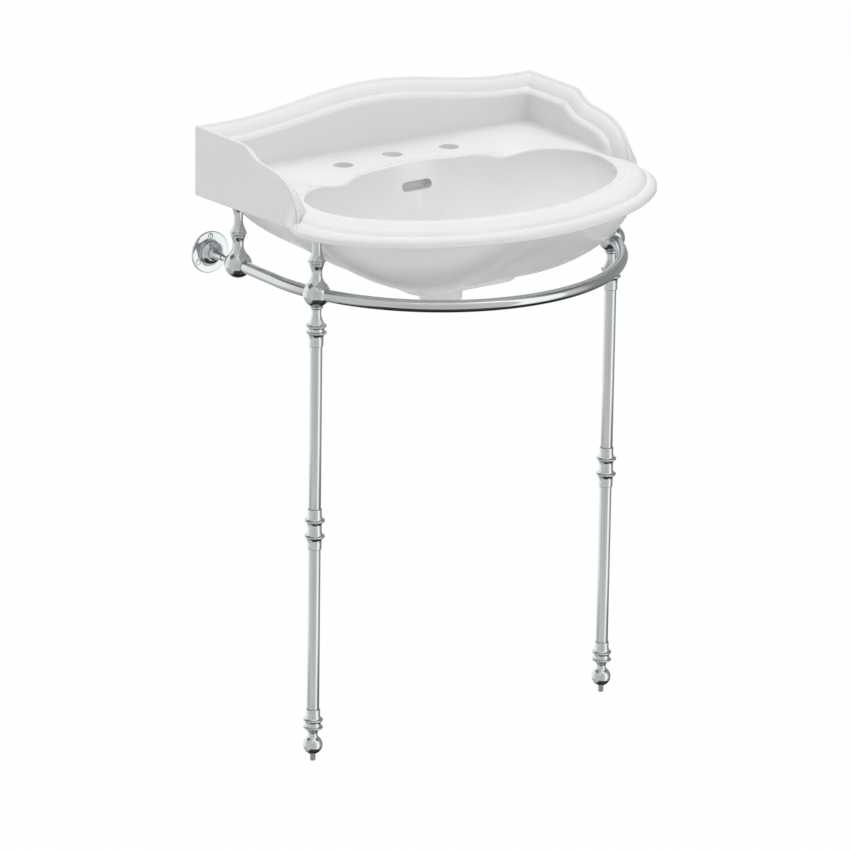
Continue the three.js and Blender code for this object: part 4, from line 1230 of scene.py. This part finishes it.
def first_ring(mesh, places):
    corners = [mesh.verts.new(in_place(*place)) for place in places]
    for corner, beside in zip(corners, corners[1:] + corners[:1]):
        mesh.edges.new((corner, beside))
    return corners


def both_halves(ring_at):
    right = half_ring(ring_at)
    return right + [Vector((-point.x, point.y, point.z)) for point in reversed(right[1:-1])]


def basin_skin():
    mesh = bmesh.new()
    corners = first_ring(mesh, both_halves(rings[0]))
    for ring_at in rings[1:] + rings[:1]:
        corners = drawn_on(mesh, corners, both_halves(ring_at))
    bmesh.ops.remove_doubles(mesh, verts=mesh.verts[:], dist=1e-6)
    bmesh.ops.recalc_face_normals(mesh, faces=mesh.faces[:])
    return mesh


skin = basin_skin()
print("the skin has", len(skin.faces), "faces, and", sum(not edge.is_manifold for edge in skin.edges), "open edges")

# %% [markdown]
# ## The openings in the china
#
# The deck has three tap holes, the bowl an overflow slot, and the deck is hollow underneath for
# the taps' tails. Cutting with solids is right here, because the real holes are punched through
# the clay too. Each cutter flares at the surface, so that the hole gets the soft lip that a wet
# sponge gives it.

# %% Cutters with soft lips
def lofted(loops):
    """A closed solid through loops of (x, distance, height) points."""
    mesh = bmesh.new()
    corners = first_ring(mesh, loops[0])
    bmesh.ops.edgeloop_fill(mesh, edges=mesh.edges[:])
    for loop in loops[1:]:
        corners = drawn_on(mesh, corners, loop)
    bmesh.ops.edgeloop_fill(mesh, edges=[edge for edge in mesh.edges if edge.is_boundary])
    bmesh.ops.recalc_face_normals(mesh, faces=mesh.faces[:])
    return mesh


tap_hole_radius, tap_lip, below_deck, above_deck = 15.4, 1.2, 30.0, 6.0
tap_spacing, tap_distance, middle_tap_distance = 100.0, 84.2, 73.3
flare = (
    [(0, deck_height - below_deck), (tap_hole_radius, deck_height - below_deck)]
    + arc(tap_hole_radius + tap_lip, deck_height - tap_lip, tap_lip, 180, 90, 6)
    + [(tap_hole_radius + tap_lip, deck_height + above_deck), (0, deck_height + above_deck)]
)
for x, distance in ((-tap_spacing, tap_distance), (0.0, middle_tap_distance), (tap_spacing, tap_distance)):
    skin = worked(skin, stood_at(spun(flare, 56, edge_width=0), x, distance), "DIFFERENCE")
print("tap holes cut:", len(skin.faces), "faces")

# %% Hollow the deck
deck_thickness, bowl_wall, web_thickness, hollow_end_inset = 15.0, 14.0, 13.0, 77.0
duct_depth, duct_half_width, duct_corner = 15.0, 40.0, 52.0


def hollow_loop(depth):
    """The hollow behind the bowl at one height, open from below to reach the taps' tails.

    It keeps clear of the duct that leads from the overflow down to the waste.
    """
    height = deck_height - over(deck_thickness, depth, boss_drop)
    share = min((deck_height - height) / bowl_depth, 1.0)
    front = []
    for station in stations:
        if station.part != "rim" and station.edge.x < half_width - hollow_end_inset:
            point = bowl_point(station, share)
            duct = duct_depth * (1 - eased(point.x, duct_half_width, duct_corner))
            front.append((point.x, point.y - bowl_wall - duct, height))
    side = front[-1][0]
    across = [(-x, distance, z) for x, distance, z in reversed(front)] + front[1:]
    return across + [(side, web_thickness, height), (-side, web_thickness, height)]


hollow = lofted([hollow_loop(depth) for depth in (0, 0.08, 0.16, 0.25, 0.35, 0.45, 0.55, 0.65, 0.8, 1.0, 1.15)])
skin = worked(skin, hollow, "DIFFERENCE")
print("deck hollowed:", len(skin.faces), "faces")

# %% Cut the overflow
overflow_width, overflow_height, overflow_drop, slot_lip = 56.0, 14.6, 35.0, 1.1
slot_start, slot_reach = 9.0, 16.0


def wall_distance(x, height):
    """How far from the wall the bowl's back surface lies at a place on it."""
    def place(station):
        low, high = 0.0, 0.9
        for _ in range(30):
            depth = (low + high) / 2
            low, high = (depth, high) if bowl_point(station, depth).z > height else (low, depth)
        return bowl_point(station, (low + high) / 2)
    near = [place(station) for station in stations if station.part == "back"]
    for first, second in zip(near, near[1:]):
        if first.x <= abs(x) <= second.x:
            return over(first.y, (abs(x) - first.x) / (second.x - first.x), second.y)
    return near[-1].y


def slot_loop(grow, deeper):
    """The slot's outline, grown sideways and set deeper than the bowl's wall."""
    reach, radius = (overflow_width - overflow_height) / 2, overflow_height / 2 + grow
    loop = []
    for start, centre in ((-90, reach), (90, -reach)):
        for step in range(13):
            turn = math.radians(start + 15 * step)
            x = centre + radius * math.cos(turn)
            height = deck_height - overflow_drop + radius * math.sin(turn)
            loop.append((x, wall_distance(x, height) - deeper, height))
    return loop


lip_steps = [slot_lip * (1 - math.sin(math.radians(turn))) for turn in (70, 50, 30, 15, 0)]
slot = lofted(
    [slot_loop(slot_lip, -slot_start), slot_loop(slot_lip, 0.0)]
    + [slot_loop(step, step) for step in lip_steps]
    + [slot_loop(0.0, slot_reach)])
skin = worked(skin, slot, "DIFFERENCE")
print("overflow cut:", len(skin.faces), "faces")

# %% [markdown]
# ## The foot pad and the seats
#
# A flat pad under the belly carries the basin while it dries and is fired, and four small round
# seats give the spindles a level place. They are joined to the skin as solids, because in the
# mould they are part of the same cavity. The pad keeps clear of the waste's bore.

# %% Join the foot pad
foot_length, foot_width, foot_corner, foot_height, foot_front = 196.0, 96.0, 34.0, 13.1, 290.0
foot_edge, foot_into_belly, boss_room_low, boss_room_high = 2.4, 7.0, 700.0, 760.0


def foot_loop(inset, rise):
    along, across = foot_length / 2 - foot_corner, foot_width / 2 - foot_corner
    loop = []
    for start, x, y in ((0, along, across), (90, -along, across), (180, -along, -across), (270, along, -across)):
        for step in range(10):
            turn = math.radians(start + 10 * step)
            loop.append((
                x + (foot_corner - inset) * math.cos(turn),
                foot_front - foot_width / 2 + y + (foot_corner - inset) * math.sin(turn),
                deck_height - belly_depth - foot_height + rise))
    return loop


pad = lofted(
    [foot_loop(foot_edge * (1 - math.sin(math.radians(turn))), foot_edge * (1 - math.cos(math.radians(turn))))
     for turn in range(0, 91, 18)]
    + [foot_loop(0.0, foot_height + foot_into_belly)])
middle_radius = (waste_radius + boss_radius) / 2
room = spun([(0, boss_room_low), (middle_radius, boss_room_low), (middle_radius, boss_room_high),
             (0, boss_room_high)], 48, edge_width=0)
pad = worked(pad, stood_at(room, 0.0, waste_distance), "DIFFERENCE")
skin = worked(skin, pad, "UNION")

# %% Join the seats and finish the basin
seat_radius, seat_height = 13.0, 8.5
for place, (x, distance) in uprights.items():
    low = heights("washer_" + place)[1] + fit
    seat = spun([(0, low), (seat_radius - 0.8, low), (seat_radius - 0.2, low + 0.25), (seat_radius, low + 0.9),
                 (seat_radius, low + seat_height), (0, low + seat_height)], 48, edge_width=0)
    skin = worked(skin, stood_at(seat, x, distance), "UNION")
print("pad and seats joined:", len(skin.faces), "faces,", sum(not edge.is_manifold for edge in skin.edges),
      "open edges,", round(skin.calc_volume() * 1000, 2), "litres")
as_piece("glazed_basin", skin, "basin")

# %% [markdown]
# ## The stage
#
# The picture is lit softly from straight above on a white ground, so level china is bright and
# upright china is a quiet grey. Two low lights come in level from the left and from the right, and a
# large floor sends a little light back up. What the camera sees of floor and sky is lifted to white,
# while the light on the object keeps its own plain level. Metal shows its surroundings rather than
# itself, so what it sees is written by direction: bright all round and brightest behind to the left,
# dim behind to the right, dark far below and behind above, with one bright strip to the right, as
# between the screens of a studio.

# %% Lay the floor
floor_reach = 30.0
floor_mesh = bmesh.new()
bmesh.ops.create_grid(floor_mesh, x_segments=1, y_segments=1, size=floor_reach)
floor_data = bpy.data.meshes.new("floor")
floor_mesh.to_mesh(floor_data)
floor_mesh.free()
floor = shown("floor", floor_data)
floor.visible_glossy = False

ground = Finish("pale_floor")
white = ground.node("ShaderNodeEmission", {}, {"Color": (1, 1, 1, 1), "Strength": 1.0})
own = Wire(ground, ground.shader.outputs[0])
lifted = ground.node("ShaderNodeMixShader", {}, {0: ground.looked_at() * 0.985, 1: own, 2: white})
ground.feed(ground.tree.nodes["Material Output"].inputs["Surface"], lifted)
ground.wear(Base_Color=ground.between(ground.clouds(2.0), (0.80, 0.80, 0.80), (0.76, 0.76, 0.76)), Roughness=0.9)
floor_data.materials.append(ground.material)
print("the floor reaches", floor_reach, "m each way")

# %% Set the light of the sky
sky = bpy.data.worlds.new("studio")
sky.use_nodes = True
bpy.context.scene.world = sky
air = Finish("studio", sky.node_tree)
direction = air.node("ShaderNodeTexCoord", {}, {}, "Generated")


def along(x, y, z):
    """How far a direction points along another one, from -1 to 1."""
    return air.node("ShaderNodeVectorMath", {"operation": "DOT_PRODUCT"}, {0: direction, 1: (x, y, z)}, "Value")


def rising(value, start, end):
    """Nothing before the start, one after the end, and soft between them."""
    return air.node("ShaderNodeMapRange", {"interpolation_type": "SMOOTHSTEP"}, {0: value, 1: start, 2: end})


def falling(value, start, end):
    return 1 - rising(value, start, end)


dome_strength = 2.55
upward = along(0, 0, 1)
dome = air.node(
    "ShaderNodeValToRGB", {"stops": [(0.50, 0.0), (0.62, 0.16), (0.75, 0.16), (0.90, 0.27), (1.0, 1.0)]},
    {0: upward * 0.5 + 0.5})
level = rising(upward, -0.12, -0.02) * falling(upward, 0.02, 0.12)
high = rising(along(0, 0.75, 0.66), 0.75, 0.90) * 0.5 + rising(along(0, -0.80, 0.60), 0.75, 0.90) * 0.5
low = rising(along(-1, 0, 0), 0.4, 0.8) * 1.2 + rising(along(0.95, -0.30, 0), 0.45, 0.80) * 2.5
plain = dome * dome_strength + high + level * low
print("the sky gives", len(sky.node_tree.nodes), "nodes of light")

# %% Write what metal and glaze see
frontward, rightward = along(-0.584, -0.812, 0), along(0.812, -0.584, 0)
far_below = falling(upward, -0.74, -0.58) * rising(rightward, -0.6, -0.35)
behind_above = rising(upward, 0.45, 0.62) * falling(frontward, 0.10, 0.35)
behind_right = rising(rightward, 0.0, 0.3) * falling(frontward, -0.35, -0.05) * (1 - behind_above)
behind_left = falling(rightward, -0.5, -0.1) * falling(frontward, -0.2, 0.3) * (1 - behind_above)
in_front = rising(frontward, 0.80, 0.97)
low_behind = falling(upward, -0.50, -0.33) * falling(frontward, 0.0, 0.4)
beside_strip = along(0.845, 0.534, 0)
strip = (rising(beside_strip, -0.32, -0.22) * falling(beside_strip, 0.22, 0.32)
         * rising(along(0.534, -0.845, 0), 0.2, 0.4))
screens = ((0.87 + strip * 0.75 + behind_left * 0.45 - in_front * 0.12)
           * (1 - far_below * 0.93) * (1 - low_behind * 0.45) * (1 - behind_above * 0.72) * (1 - behind_right * 0.55))
rays = air.node("ShaderNodeLightPath", {}, {}, "Is Camera Ray")
tone = air.mixed(rays, air.mixed(air.looked_at(), plain, screens), (1, 1, 1, 1))
air.feed(sky.node_tree.nodes["Background"].inputs["Color"], tone)
print("with what metal and glaze see, the sky has", len(sky.node_tree.nodes), "nodes")

# %% Hang the lamp
light = bpy.data.lights.new("lamp_above", "AREA")
light.size = 2.3
light.energy = 5.0
lamp = shown("lamp_above", light)
lamp.location = (-0.3, -0.9, 3.45)
lamp.rotation_euler = (Vector((0, 0, 0.8)) - lamp.location).to_track_quat("-Z", "Y").to_euler()
bpy.context.scene.view_settings.view_transform = "Standard"
print("the lamp gives", light.energy, "W over", light.size, "m")
